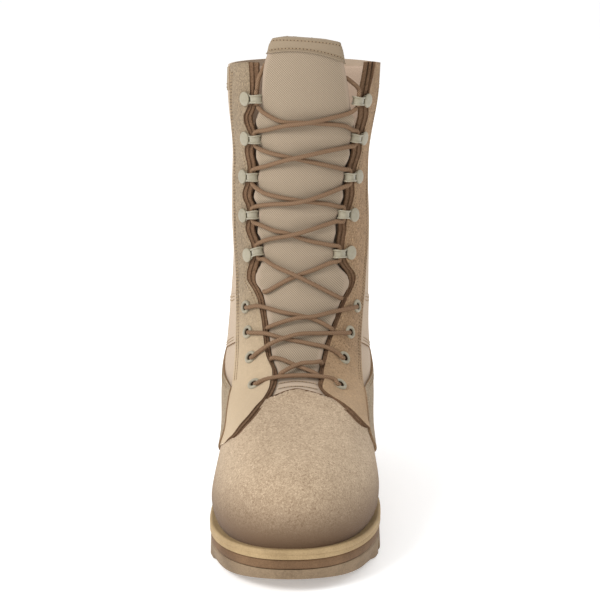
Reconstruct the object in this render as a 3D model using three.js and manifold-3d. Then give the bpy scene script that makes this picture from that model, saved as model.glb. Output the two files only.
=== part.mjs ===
// A left combat boot for hot, dry ground: suede and nylon upper with a padded tongue, four pairs
// of eyelets, five pairs of closed speed hooks, a round lace and a thick rippled wedge sole.
// Millimetres. +Z is up, the toe points to -Y, and +X is the wearer's left, the outer side.
// The origin is on the ground, below the middle of the sole's length and width.
import * as THREE from "three";
import { mergeVertices } from "three/addons/utils/BufferGeometryUtils.js";
import Module from "manifold-3d";

const wasm = await Module();
wasm.setup();
const { Manifold, Mesh: SolidMesh } = wasm;

// Driving dimensions.
const SOLE_LENGTH = 304; // heel to toe, a men's 9 regular
const TOE_Y = -SOLE_LENGTH / 2;
const HEEL_Y = SOLE_LENGTH / 2;
const LEDGE = 5.5; // how far the sole shows outside the upper's foot
const WALL = 2.4; // upper: leather or nylon with its lining
const GAP = 0.3; // between pieces that touch
const WELT_THICK = 5.5;
const COLLAR_FRONT_Z = 301;
const COLLAR_BACK_Z = 296;
const MEDIAL = -1;
const LATERAL = 1;

// Half widths of the sole either side of its middle line, before its ends are rounded, and how
// far the upper's side bulges out over the line that it stands on.
const PLAN = [
  { y: -152, middle: -5.6, medial: 49.0, lateral: 49.5, bulge: 3.0 },
  { y: -115, middle: -4.4, medial: 52.8, lateral: 52.5, bulge: 5.6 },
  { y: -78, middle: -2.6, medial: 54.5, lateral: 54.5, bulge: 6.4 },
  { y: -50, middle: -2.2, medial: 53.5, lateral: 54.5, bulge: 6.6 },
  { y: -10, middle: -2.0, medial: 47.0, lateral: 50.0, bulge: 8.0 },
  { y: 35, middle: -1.6, medial: 41.0, lateral: 43.5, bulge: 8.0 },
  { y: 85, middle: -1.0, medial: 39.5, lateral: 40.5, bulge: 4.5 },
  { y: 152, middle: -0.8, medial: 39.5, lateral: 39.5, bulge: 2.0 },
];
const TOE_ROUND = { start: -72, power: 2.35 };
const HEEL_ROUND = { start: 98, power: 2.3 };

// Heights along the sole: the feather line that the upper stands on, the top of the rippled
// outsole, and the plane of the ripples' tips.
const SOLE = [
  { y: -152, feather: 27.5, wedge: 15.2, tread: 9.4 },
  { y: -132, feather: 26.0, wedge: 13.8, tread: 5.0 },
  { y: -112, feather: 25.2, wedge: 13.0, tread: 2.0 },
  { y: -92, feather: 24.8, wedge: 12.6, tread: 0.3 },
  { y: -82, feather: 24.8, wedge: 12.6, tread: 0 },
  { y: -30, feather: 26.0, wedge: 13.2, tread: 0 },
  { y: 20, feather: 29.8, wedge: 14.6, tread: 0 },
  { y: 70, feather: 34.8, wedge: 16.4, tread: 0 },
  { y: 112, feather: 38.2, wedge: 17.8, tread: 0 },
  { y: 136, feather: 39.6, wedge: 18.4, tread: 0 },
  { y: 152, feather: 40.2, wedge: 18.8, tread: 3.0 },
];

// The last's profile from the toe over the vamp and instep and up the front of the shaft.
const RIDGE = [
  { y: -146.3, z: 27.5 },
  { y: -146.0, z: 39 },
  { y: -143.4, z: 51 },
  { y: -137.0, z: 61 },
  { y: -125.0, z: 69.5 },
  { y: -105.0, z: 77 },
  { y: -80.0, z: 83.5 },
  { y: -58.0, z: 89 },
  { y: -42.0, z: 94.4 },
  { y: -28.0, z: 102.5 },
  { y: -16.0, z: 114 },
  { y: -6.0, z: 129 },
  { y: 2.0, z: 147 },
  { y: 7.5, z: 168 },
  { y: 10.5, z: 196 },
  { y: 12.0, z: 245 },
  { y: 12.5, z: 330 },
];

// The back seam, from the heel seat to the collar.
const BACK = [
  { z: 36, y: 145.0 },
  { z: 56, y: 147.5 },
  { z: 76, y: 146.0 },
  { z: 98, y: 141.5 },
  { z: 126, y: 137.5 },
  { z: 165, y: 137.0 },
  { z: 225, y: 139.0 },
  { z: 330, y: 140.5 },
];

// The shaft's level sections.
const SHAFT = [
  { z: 40, middle: -2.2, half: 50.0 },
  { z: 77, middle: -1.4, half: 51.2 },
  { z: 95, middle: -1.0, half: 50.0 },
  { z: 113, middle: -0.7, half: 48.6 },
  { z: 130, middle: 0, half: 48.0 },
  { z: 165, middle: 1.2, half: 48.0 },
  { z: 191, middle: 0.8, half: 48.6 },
  { z: 216, middle: 0.4, half: 48.0 },
  { z: 242, middle: 0.7, half: 47.8 },
  { z: 275, middle: 2.1, half: 52.0 },
  { z: 296, middle: 3.0, half: 52.6 },
  { z: 330, middle: 4.0, half: 53.4 },
];
const SHAFT_POWER = { front: 2.15, back: 2.3 };
const FOOT_TO_SHAFT = { from: 30, to: 92 }; // heights between which the foot becomes the shaft
const VAMP_POWER = 2.9;
const BULGE = { height: 60, low: 0.75 }; // the side's bulge: its height, and how low it is fullest

// The throat between the two facings: its middle and half its width, by height.
const THROAT = [
  { z: 93.8, middle: -1.5, half: 10 },
  { z: 95.4, middle: -1.5, half: 13 },
  { z: 112, middle: -1.2, half: 16.8 },
  { z: 130, middle: 0.4, half: 21 },
  { z: 147, middle: 2.2, half: 28 },
  { z: 159, middle: 0.6, half: 31.5 },
  { z: 172, middle: -0.8, half: 28.4 },
  { z: 198, middle: -0.5, half: 31 },
  { z: 224, middle: 1.1, half: 33.8 },
  { z: 250, middle: 4.0, half: 35.2 },
  { z: 276, middle: 5.4, half: 35.4 },
  { z: 330, middle: 6.4, half: 36 },
];
const SCALLOP = 2.2; // how far the facing's edge falls back between two hooks

// The fasteners, from the lowest: height, and distance from the throat's middle line.
const EYELETS = [
  { z: 95.0, half: 27.8 },
  { z: 108.0, half: 30.5 },
  { z: 122.2, half: 33.5 },
  { z: 137.3, half: 36.6 },
];
const HOOKS = [
  { z: 172.2, half: 33.3 },
  { z: 198.3, half: 35.8 },
  { z: 224.4, half: 37.6 },
  { z: 250.5, half: 38.3 },
  { z: 276.6, half: 39.3 },
];
const HOOK_PITCH = HOOKS[1].z - HOOKS[0].z;
const EYELET = { hole: 2.2, barrel: 2.8, rim: 3.9, thick: 1.0, lift: 0.9 };
const HOOK = { disc: 6.0, crown: 1.5, strapWide: 6.8, strapThick: 1.0, lift: 1.0 };

const TONGUE = {
  lowZ: 88,
  topZ: 318.5,
  cornerDrop: 4.5,
  lean: 2.2,
  thick: 5,
  lowHalf: 22,
  midHalf: 42,
  topHalf: 24.5,
  topFrom: 0.78,
  crowd: 1.5, // rows lie closer together over the instep's bend
};

// Lace: a round cord. Each crossing lists where it crosses, and how its strands run at the low
// and high ends: from under the facing's edge, over the facing to an eyelet, or to a hook. The
// strand on top comes down from the outer side, unless the row names its side.
const LACE = { radius: 1.45, onTongue: 2.6, overFacing: 3.0, underFacing: 1.6, sides: 8, steps: 8 };
const CROSSINGS = [
  { z: 106.5, shift: 1.5, low: "under", lowZ: 102.5, high: "under", highZ: 111.5 },
  { z: 120.5, shift: -8.0, low: "over", lowZ: EYELETS[1].z, high: "over", highZ: EYELETS[2].z },
  { z: 133.6, shift: -2.2, low: "under", lowZ: 128.2, high: "over", highZ: EYELETS[3].z },
  { z: 160.0, shift: -1.0, low: "under", lowZ: 146.5, high: "hook", highZ: HOOKS[0].z, top: MEDIAL },
  { z: 188.0, shift: -3.0, low: "hook", lowZ: HOOKS[0].z, high: "hook", highZ: HOOKS[1].z },
  { z: 212.0, shift: 0.6, low: "hook", lowZ: HOOKS[1].z, high: "hook", highZ: HOOKS[2].z },
  { z: 239.5, shift: -1.0, low: "hook", lowZ: HOOKS[2].z, high: "hook", highZ: HOOKS[3].z },
  { z: 265.0, shift: -1.0, low: "hook", lowZ: HOOKS[3].z, high: "hook", highZ: HOOKS[4].z },
];
const BAR = { z: 98.6, half: 13 }; // the lowest strand, outside, from eyelet to eyelet
// Each end leaves the highest hook and goes round the tongue's edge to behind it.
const LACE_ENDS = [
  {
    side: MEDIAL,
    points: [
      { x: -26.6, z: 291, lift: 0.8 },
      { x: -27.0, z: 298, lift: -4.5 },
      { x: -22.0, z: 303, lift: -12.0 },
    ],
  },
  {
    side: LATERAL,
    points: [
      { x: 37.6, z: 290, lift: 0.4 },
      { x: 37.4, z: 296, lift: -5.0 },
      { x: 30.0, z: 299, lift: -12.5 },
    ],
  },
];

const RINGS_LOW = 7; // rings on the toe box, below the vamp
const RINGS_VAMP = 8;
const RINGS_SHAFT = 8;
const SIDE_STEPS = 17; // points along each side of a ring

// Small tools.
const clamp = (v, low, high) => Math.min(high, Math.max(low, v));
const mix = (a, b, t) => a + (b - a) * t;
const smooth = (t) => {
  const c = clamp(t, 0, 1);
  return c * c * (3 - 2 * c);
};

// A table's column at a place along its key column, as a smooth curve through the rows.
function column(table, key, name, at) {
  const last = table.length - 1;
  const t = clamp(at, table[0][key], table[last][key]);
  let i = 0;
  while (i < last - 1 && t > table[i + 1][key]) i++;
  const slope = (k) => {
    const a = Math.max(k - 1, 0);
    const b = Math.min(k + 1, last);
    return (table[b][name] - table[a][name]) / (table[b][key] - table[a][key]);
  };
  const span = table[i + 1][key] - table[i][key];
  const u = (t - table[i][key]) / span;
  const h = u * u * (3 - 2 * u);
  const rise = u * (1 - u) * (1 - u) * slope(i) - u * u * (1 - u) * slope(i + 1);
  return mix(table[i][name], table[i + 1][name], h) + span * rise;
}

// Finds where a rising function passes a value.
function solve(rising, value, low, high) {
  for (let i = 0; i < 40; i++) {
    const half = (low + high) / 2;
    if (rising(half) < value) low = half;
    else high = half;
  }
  return (low + high) / 2;
}

const sideName = (side) => (side === MEDIAL ? "medial" : "lateral");
const rounding = (t, power) => (1 - clamp(t, 0, 1) ** power) ** (1 / power);

// Half width of the sole's outline, drawn in by an inset, with its toe and heel rounded.
function planHalf(side, y, inset, heelY = HEEL_Y - inset, toeY = TOE_Y + inset) {
  const toe = rounding((TOE_ROUND.start - y) / (TOE_ROUND.start - toeY), TOE_ROUND.power);
  const heel = rounding((y - HEEL_ROUND.start) / (heelY - HEEL_ROUND.start), HEEL_ROUND.power);
  return (column(PLAN, "y", sideName(side), y) - inset) * toe * heel;
}
const middleX = (y) => column(PLAN, "y", "middle", y);
const featherZ = (y) => column(SOLE, "y", "feather", y);

// The last's outer form: the half width at any place in the side view.
const ridgeY = (z) => column(RIDGE, "z", "y", z);
const backY = (z) => column(BACK, "z", "y", z);
const RIDGE_TOP = { y: 7.5, z: 168, slope: 9 }; // past here the ridge is too steep to read by y
function ridgeZ(y) {
  const at = Math.min(y, RIDGE_TOP.y);
  const z = solve(ridgeY, at, RIDGE[0].z, RIDGE_TOP.z);
  return z + Math.max(0, y - RIDGE_TOP.y) * RIDGE_TOP.slope;
}
function footHalf(side, y, z) {
  const above = z - featherZ(y);
  const share = clamp(above / Math.max(ridgeZ(y) - featherZ(y), 0.01), 0, 1);
  const swell = Math.sin(Math.PI * clamp(above / BULGE.height, 0, 1) ** BULGE.low);
  const ends = planHalf(side, y, LEDGE, backY(z), RIDGE[0].y);
  const bulge = 1 + (column(PLAN, "y", "bulge", y) * swell) / column(PLAN, "y", sideName(side), y);
  return ends * bulge * Math.sqrt(1 - share ** VAMP_POWER);
}
function shaftHalf(side, y, z) {
  const front = ridgeY(z);
  const back = backY(z);
  const centre = (front + back) / 2;
  const t = Math.abs(y - centre) / ((back - front) / 2);
  return column(SHAFT, "z", "half", z) *
    rounding(t, y < centre ? SHAFT_POWER.front : SHAFT_POWER.back);
}
const shaftShare = (z) => smooth((z - FOOT_TO_SHAFT.from) / (FOOT_TO_SHAFT.to - FOOT_TO_SHAFT.from));
function formX(side, y, z) {
  const share = shaftShare(z);
  const half = mix(footHalf(side, y, z), shaftHalf(side, y, z), share);
  return mix(middleX(y), column(SHAFT, "z", "middle", z), share) + side * half;
}

// One ring round the form, from the front middle along the outer side to the back and home along
// the inner side. Low rings run along the feather line and high ones are nearly level.
function ring(frontZ, backZ, follow) {
  const front = ridgeY(frontZ);
  const back = backY(backZ);
  const at = (side, j) => {
    const s = (1 - Math.cos((Math.PI * j) / SIDE_STEPS)) / 2;
    const y = mix(front, back, s);
    const sag = featherZ(y) - mix(featherZ(front), featherZ(back), s);
    const z = mix(frontZ, backZ, s) + follow * sag;
    const end = j === 0 || j === SIDE_STEPS;
    const middle = mix(middleX(y), column(SHAFT, "z", "middle", z), shaftShare(z));
    return new THREE.Vector3(end ? middle : formX(side, y, z), y, z);
  };
  const points = [];
  for (let j = 0; j < SIDE_STEPS; j++) points.push(at(LATERAL, j));
  for (let j = SIDE_STEPS; j > 0; j--) points.push(at(MEDIAL, j));
  return points;
}
function formRings() {
  const rings = [];
  const lowFront = featherZ(RIDGE[0].y);
  const lowBack = featherZ(BACK[0].y);
  const vampZ = 74;
  const heelZ = 66;
  const instepZ = 149;
  const ankleZ = 124;
  for (let i = 0; i < RINGS_LOW; i++) {
    const t = i / RINGS_LOW;
    rings.push(ring(mix(lowFront, vampZ, t), mix(lowBack, heelZ, t), 1 - t));
  }
  for (let i = 0; i < RINGS_VAMP; i++) {
    const t = i / RINGS_VAMP;
    rings.push(ring(mix(vampZ, instepZ, t), mix(heelZ, ankleZ, t), 0));
  }
  for (let i = 0; i <= RINGS_SHAFT; i++) {
    const t = i / RINGS_SHAFT;
    rings.push(ring(mix(instepZ, COLLAR_FRONT_Z, t), mix(ankleZ, COLLAR_BACK_Z, t), 0));
  }
  return rings;
}

// Each point of a grid of rings, moved inwards along the surface's normal.
function drawnIn(rings, depth) {
  const count = rings[0].length;
  return rings.map((points, i) =>
    points.map((p, j) => {
      const along = points[(j + 1) % count].clone().sub(points[(j + count - 1) % count]);
      const up = rings[Math.min(i + 1, rings.length - 1)][j].clone();
      up.sub(rings[Math.max(i - 1, 0)][j]);
      return p.clone().addScaledVector(along.cross(up).normalize(), -depth);
    }),
  );
}

// A closed skin over rings of points. The first and last rings are joined when the loft is a tube
// of wall, and capped with a fan otherwise.
function loftGeometry(rings, joined) {
  const count = rings[0].length;
  const positions = rings.flat().flatMap((p) => [p.x, p.y, p.z]);
  const index = [];
  const bands = joined ? rings.length : rings.length - 1;
  for (let i = 0; i < bands; i++) {
    const next = (i + 1) % rings.length;
    for (let j = 0; j < count; j++) {
      const k = (j + 1) % count;
      index.push(i * count + j, i * count + k, next * count + k);
      index.push(i * count + j, next * count + k, next * count + j);
    }
  }
  if (!joined) {
    for (const [i, turned] of [[0, true], [rings.length - 1, false]]) {
      const middle = rings[i].reduce((sum, p) => sum.add(p), new THREE.Vector3());
      middle.divideScalar(count);
      const hub = positions.length / 3;
      positions.push(middle.x, middle.y, middle.z);
      for (let j = 0; j < count; j++) {
        const a = i * count + j;
        const b = i * count + ((j + 1) % count);
        index.push(hub, turned ? b : a, turned ? a : b);
      }
    }
  }
  const geometry = new THREE.BufferGeometry();
  geometry.setAttribute("position", new THREE.Float32BufferAttribute(positions, 3));
  geometry.setIndex(index);
  return geometry;
}

// Between three.js geometry and manifold solids.
function solid(geometry) {
  const bare = geometry.clone();
  bare.deleteAttribute("normal");
  bare.deleteAttribute("uv");
  const merged = mergeVertices(bare, 1e-4);
  const made = new Manifold(
    new SolidMesh({
      numProp: 3,
      vertProperties: new Float32Array(merged.getAttribute("position").array),
      triVerts: new Uint32Array(merged.index.array),
    }),
  );
  return made;
}
function geometryOf(made) {
  const mesh = made.getMesh();
  const geometry = new THREE.BufferGeometry();
  geometry.setAttribute("position", new THREE.BufferAttribute(mesh.vertProperties, 3));
  geometry.setIndex(new THREE.BufferAttribute(mesh.triVerts, 1));
  geometry.computeVertexNormals();
  return geometry;
}
// An outline of [u, v] pairs as a solid: standing between two heights, or lying across the boot.
function standing(outline, lowZ, highZ) {
  const shape = new THREE.Shape(outline.map(([x, y]) => new THREE.Vector2(x, y)));
  const geometry = new THREE.ExtrudeGeometry(shape, { depth: highZ - lowZ, bevelEnabled: false });
  return solid(geometry.translate(0, 0, lowZ));
}
const ACROSS = 150;
function across(outlineYZ) {
  const shape = new THREE.Shape(outlineYZ.map(([y, z]) => new THREE.Vector2(y, z)));
  const geometry = new THREE.ExtrudeGeometry(shape, { depth: ACROSS, bevelEnabled: false });
  geometry.rotateX(Math.PI / 2).rotateZ(Math.PI / 2);
  return solid(geometry.translate(-ACROSS / 2, 0, 0));
}

const group = new THREE.Group();
const LOOKS = {
  suede: { color: 0xb89c7c, roughness: 0.95 },
  cloth: { color: 0xb9a184, roughness: 0.9 },
  foam: { color: 0x8d7a62, roughness: 0.95 },
  tan_rubber: { color: 0xc0a27a, roughness: 0.75 },
  brown_rubber: { color: 0x7d5a36, roughness: 0.75 },
  painted_metal: { color: 0xc5bea2, roughness: 0.45, metalness: 0.2 },
  lace: { color: 0x8f6f52, roughness: 0.9 },
};
function add(name, geometry, look) {
  const mesh = new THREE.Mesh(geometry, new THREE.MeshStandardMaterial(LOOKS[look]));
  mesh.name = name;
  group.add(mesh);
  return mesh;
}

// Sole: three layers cut from one outline, each between two lines of the side view.
function planOutline(inset) {
  const points = [];
  const steps = 27;
  const at = (side, j) => {
    const s = (1 - Math.cos((Math.PI * j) / steps)) / 2;
    const y = mix(TOE_Y + inset, HEEL_Y - inset, s);
    return [middleX(y) + side * planHalf(side, y, inset), y];
  };
  for (let j = 0; j < steps; j++) points.push(at(LATERAL, j));
  for (let j = steps; j > 0; j--) points.push(at(MEDIAL, j));
  return points;
}
const SOLE_STEP = 12;
function alongSole(line) {
  const points = [];
  const reach = HEEL_Y + 4;
  for (let y = -reach; y < reach - 1; y += SOLE_STEP) points.push([y, line(y)]);
  points.push([reach, line(reach)]);
  return points;
}
function layer(topLine, bottomLine, inset) {
  const profile = across([...alongSole(bottomLine), ...alongSole(topLine).reverse()]);
  return geometryOf(standing(planOutline(inset), -10, 80).intersect(profile));
}
const weltTop = (y) => featherZ(y) - GAP;
const weltBottom = (y) => weltTop(y) - WELT_THICK;
const wedgeZ = (y) => column(SOLE, "y", "wedge", y);
const treadZ = (y) => Math.max(0, column(SOLE, "y", "tread", y));

// The ripples: slanted teeth across the sole, with flat tips and round-bottomed grooves.
const RIPPLE = { first: 58, pitch: 16, tip: 6.5, depth: 8.5, lean: 2.5, groove: 3 };
function rippleLine() {
  const firstTip = TOE_Y + RIPPLE.first;
  const points = [];
  for (let y = TOE_Y - 4; y < firstTip - 2; y += 8) points.push([y, treadZ(y)]);
  const teeth = Math.floor((HEEL_Y - firstTip) / RIPPLE.pitch) + 1;
  for (let i = 0; i < teeth; i++) {
    const tip = firstTip + i * RIPPLE.pitch;
    const end = tip + RIPPLE.tip;
    const valley = end + (RIPPLE.pitch - RIPPLE.tip) / 2 - RIPPLE.lean;
    const depth = Math.min(RIPPLE.depth, wedgeZ(valley) - treadZ(valley) - 3.5);
    const roof = treadZ(valley) + depth;
    points.push([tip, treadZ(tip)], [end, treadZ(end)]);
    points.push([valley - RIPPLE.groove / 2, roof - 1.2]);
    points.push([valley, roof]);
    points.push([valley + RIPPLE.groove / 2, roof - 1.2]);
  }
  return points.filter(([y]) => y < HEEL_Y + 3);
}
function outsoleGeometry() {
  const top = alongSole((y) => wedgeZ(y));
  const tread = rippleLine();
  const end = [HEEL_Y + 4, treadZ(HEEL_Y)];
  const profile = across([...tread, end, ...top.reverse()]);
  return geometryOf(standing(planOutline(0.6), -10, 80).intersect(profile));
}
add("outsole", outsoleGeometry(), "tan_rubber");
add("midsole", layer((y) => weltBottom(y) - GAP, (y) => wedgeZ(y) + GAP, 0.9), "brown_rubber");
add("welt", layer(weltTop, weltBottom, 0), "tan_rubber");

// Insole: a thin board inside the upper's foot.
const INSOLE_THICK = 3.5;
add("insole", layer((y) => featherZ(y) + INSOLE_THICK, featherZ, LEDGE + WALL + 2), "foam");

// Upper: one wall from the feather line to the collar, cut open down the throat.
const outerRings = formRings();
const innerRings = drawnIn(outerRings, WALL);
const throatX = (z) => column(THROAT, "z", "middle", z);
function throatHalf(z) {
  const swing = Math.sin((Math.PI * (z - HOOKS[0].z)) / HOOK_PITCH) ** 2;
  const hooked = smooth((z - HOOKS[0].z + 3) / 6) * (1 - smooth((z - HOOKS[4].z) / 12));
  return column(THROAT, "z", "half", z) + SCALLOP * swing * hooked;
}
function throatSolid() {
  const levels = THROAT.slice(0, 3).map((row) => row.z);
  for (let z = 107; z < COLLAR_FRONT_Z + 8; z += 5) levels.push(z);
  const right = levels.map((z) => new THREE.Vector2(throatX(z) + throatHalf(z), z));
  const left = levels.map((z) => new THREE.Vector2(throatX(z) - throatHalf(z), z));
  const shape = new THREE.Shape([...right, ...left.reverse()]);
  const geometry = new THREE.ExtrudeGeometry(shape, { depth: 140, bevelEnabled: false });
  return solid(geometry.rotateX(Math.PI / 2).translate(0, 70, 0));
}

// The form's surface at a place in the front view, with its outward normal; lift raises the point.
const centreX = (z) => mix(middleX(ridgeY(z)), column(SHAFT, "z", "middle", z), shaftShare(z));
function surfaceY(x, z) {
  const side = x < centreX(z) ? MEDIAL : LATERAL;
  const reach = Math.abs(x - centreX(z));
  const rise = (y) => side * (formX(side, y, z) - centreX(z));
  return solve(rise, reach, ridgeY(z), (ridgeY(z) + backY(z)) / 2);
}
function surface(x, z, lift = 0) {
  const step = 0.8;
  const point = new THREE.Vector3(x, surfaceY(x, z), z);
  const dx = new THREE.Vector3(2 * step, surfaceY(x + step, z) - surfaceY(x - step, z), 0);
  const dz = new THREE.Vector3(0, surfaceY(x, z + step) - surfaceY(x, z - step), 2 * step);
  const normal = dx.cross(dz).normalize();
  point.addScaledVector(normal, lift);
  return { point, normal };
}

// A seat for a fastener: local X runs across to the outer side, local Y up the boot and local Z
// out of the facing.
function seatAt(side, { z, half }, lift) {
  const { point, normal } = surface(throatX(z) + side * half, z, lift);
  const up = new THREE.Vector3(0, 0, 1).addScaledVector(normal, -normal.z).normalize();
  const acrossBoot = up.clone().cross(normal);
  return new THREE.Matrix4().makeBasis(acrossBoot, up, normal).setPosition(point);
}

// Eyelets: a rolled rim with a short barrel through the facing.
function eyeletGeometry() {
  const { hole, rim, thick, barrel, lift } = EYELET;
  const depth = WALL + lift;
  const profile = [
    [hole, -depth],
    [barrel, -depth],
    [barrel, 0],
    [rim, 0.2],
    [rim - 0.9, thick],
    [hole, -depth],
  ].map(([r, h]) => new THREE.Vector2(r, h));
  return new THREE.LatheGeometry(profile, 10).rotateX(Math.PI / 2);
}

// Speed hooks: a domed disc riveted to the facing, and a strap that bows over the lace and
// turns back past the facing's edge.
function bandShape(line, thick) {
  const outer = [];
  const inner = [];
  line.forEach((p, i) => {
    const a = line[Math.max(i - 1, 0)];
    const b = line[Math.min(i + 1, line.length - 1)];
    const across = new THREE.Vector2(b[1] - a[1], a[0] - b[0]).normalize().multiplyScalar(thick / 2);
    outer.push(new THREE.Vector2(p[0] + across.x, p[1] + across.y));
    inner.push(new THREE.Vector2(p[0] - across.x, p[1] - across.y));
  });
  return new THREE.Shape([...outer, ...inner.reverse()]);
}
const STRAP = [
  [-2.5, 0.6],
  [4.0, 0.6],
  [7.0, 2.6],
  [9.5, 4.4],
  [12.5, 4.9],
  [15.2, 4.2],
  [17.0, 2.0],
  [17.0, -0.8],
  [15.6, -2.6],
];
function hookGeometry(side) {
  const { disc, crown, strapWide, strapThick } = HOOK;
  const line = STRAP.map(([u, w]) => [-side * u, w]);
  const options = { depth: strapWide, bevelEnabled: false };
  const strap = new THREE.ExtrudeGeometry(bandShape(line, strapThick), options);
  strap.rotateX(Math.PI / 2).translate(0, strapWide / 2, 0);
  const profile = [
    [0, 0.8],
    [disc - 0.5, 0.8],
    [disc, 1.3],
    [disc - 0.9, 0.8 + crown - 0.3],
    [0, 0.8 + crown],
  ].map(([r, h]) => new THREE.Vector2(r, h));
  const cap = new THREE.LatheGeometry(profile, 14).rotateX(Math.PI / 2);
  return geometryOf(solid(strap).add(solid(cap)));
}

const sides = [
  { side: MEDIAL, word: "medial" },
  { side: LATERAL, word: "lateral" },
];
let upper = solid(loftGeometry([...outerRings, ...innerRings.slice().reverse()], true));
upper = upper.subtract(throatSolid());
for (const { side, word } of sides) {
  EYELETS.forEach((row, i) => {
    const seat = seatAt(side, row, EYELET.lift);
    const bore = new THREE.CylinderGeometry(EYELET.barrel + GAP, EYELET.barrel + GAP, 10, 12);
    upper = upper.subtract(solid(bore.rotateX(Math.PI / 2).applyMatrix4(seat)));
    add(`eyelet_${word}_${i + 1}`, eyeletGeometry(), "painted_metal").applyMatrix4(seat);
  });
  HOOKS.forEach((row, i) => {
    const hook = add(`hook_${word}_${i + 1}`, hookGeometry(side), "painted_metal");
    hook.applyMatrix4(seatAt(side, row, HOOK.lift));
  });
}
add("upper", geometryOf(upper), "suede");

// Tongue: a pad behind the facings, from under the vamp to above the collar.
function tongueHalf(t) {
  const { lowHalf, midHalf, topHalf, topFrom } = TONGUE;
  const low = mix(lowHalf, midHalf, smooth(t / 0.4));
  return mix(low, topHalf, smooth((t - topFrom) / 0.16));
}
function tongueGeometry() {
  const rows = 19;
  const columns = 8;
  const { lowZ, topZ, cornerDrop, lean, thick } = TONGUE;
  const rings = [];
  for (let i = 0; i <= rows; i++) {
    const t = (i / rows) ** TONGUE.crowd;
    const top = smooth((t - 0.7) / 0.3);
    const skin = (lift, from) => {
      const line = [];
      for (let j = 0; j <= columns; j++) {
        const s = from * (1 - (2 * j) / columns);
        const z = mix(lowZ, topZ, t) - (cornerDrop * s ** 4 + lean * s) * top;
        line.push(surface(throatX(z) + s * tongueHalf(t), z, lift).point);
      }
      return line;
    };
    const outer = -WALL - 2.5 * GAP;
    rings.push([...skin(outer, -1), ...skin(outer - thick, 1)]);
  }
  return loftGeometry(rings, false);
}
add("tongue", geometryOf(solid(tongueGeometry())), "cloth");

// Lace crossings, clear of the tongue, the facings, the eyelets and the hooks.
function laceTube(points, steps) {
  const path = new THREE.CatmullRomCurve3(points, false, "centripetal");
  const corners = [];
  for (let k = 0; k < LACE.sides; k++) {
    const turn = (2 * Math.PI * k) / LACE.sides;
    corners.push(new THREE.Vector2(Math.cos(turn), Math.sin(turn)).multiplyScalar(LACE.radius));
  }
  const options = { steps, extrudePath: path, bevelEnabled: false };
  return new THREE.ExtrudeGeometry(new THREE.Shape(corners), options);
}
const fastener = (rows, z) => rows.find((row) => Math.abs(row.z - z) < 1);
const HOOK_EXIT = { across: 13.4, along: 5.2, out: 1.0 }; // where a strand leaves a hook's strap
function strandEnd(side, run, z, goes) {
  if (run === "hook") {
    const seat = seatAt(side, fastener(HOOKS, z), HOOK.lift);
    const { across: u, along, out } = HOOK_EXIT;
    return new THREE.Vector3(-side * u, goes * along, out).applyMatrix4(seat);
  }
  if (run === "over") {
    const reach = fastener(EYELETS, z).half - EYELET.rim - 2.6;
    return surface(throatX(z) + side * reach, z, LACE.overFacing).point;
  }
  const inside = throatHalf(z) - LACE.radius - 2.0;
  return surface(throatX(z) + side * inside, z, LACE.underFacing).point;
}
const SHOULDER = {
  hook: { share: 0.3, lift: LACE.onTongue - 0.4 },
  over: { share: 0.6, lift: LACE.overFacing + 0.6 },
  under: { share: 0.6, lift: LACE.onTongue - 0.4 },
};
function strand(row, highSide, rise) {
  const high = strandEnd(highSide, row.high, row.highZ, -1);
  const low = strandEnd(-highSide, row.low, row.lowZ, 1);
  const crossX = throatX(row.z) + row.shift;
  const cross = surface(crossX, row.z, LACE.onTongue + rise).point;
  const shoulder = (end, run) => {
    const { share, lift } = SHOULDER[run];
    return surface(mix(crossX, end.x, 0.62), mix(row.z, end.z, share), lift + rise * 0.4).point;
  };
  return [high, shoulder(high, row.high), cross, shoulder(low, row.low), low];
}
CROSSINGS.forEach((row, i) => {
  const top = row.top ?? LATERAL;
  const under = laceTube(strand(row, -top, 0), LACE.steps);
  const over = laceTube(strand(row, top, 2 * LACE.radius - 0.3), LACE.steps);
  add(`lace_crossing_${i + 1}`, geometryOf(solid(under).add(solid(over))), "lace");
});

const barMiddle = throatX(BAR.z);
const barPoints = [
  strandEnd(MEDIAL, "over", EYELETS[0].z, 0),
  surface(barMiddle - BAR.half, BAR.z - 0.6, LACE.onTongue).point,
  surface(barMiddle, BAR.z, LACE.onTongue).point,
  surface(barMiddle + BAR.half, BAR.z - 0.6, LACE.onTongue).point,
  strandEnd(LATERAL, "over", EYELETS[0].z, 0),
];
add("lace_bar", laceTube(barPoints, LACE.steps), "lace");

for (const { side, points } of LACE_ENDS) {
  const start = strandEnd(side, "hook", HOOKS[4].z, 1);
  const route = [start, ...points.map(({ x, z, lift }) => surface(x, z, lift).point)];
  const { word } = sides.find((entry) => entry.side === side);
  add(`lace_end_${word}`, laceTube(route, LACE.steps), "lace");
}

export default group;
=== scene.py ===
import math
from itertools import accumulate

import bpy
from mathutils import Matrix, Vector, noise


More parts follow.
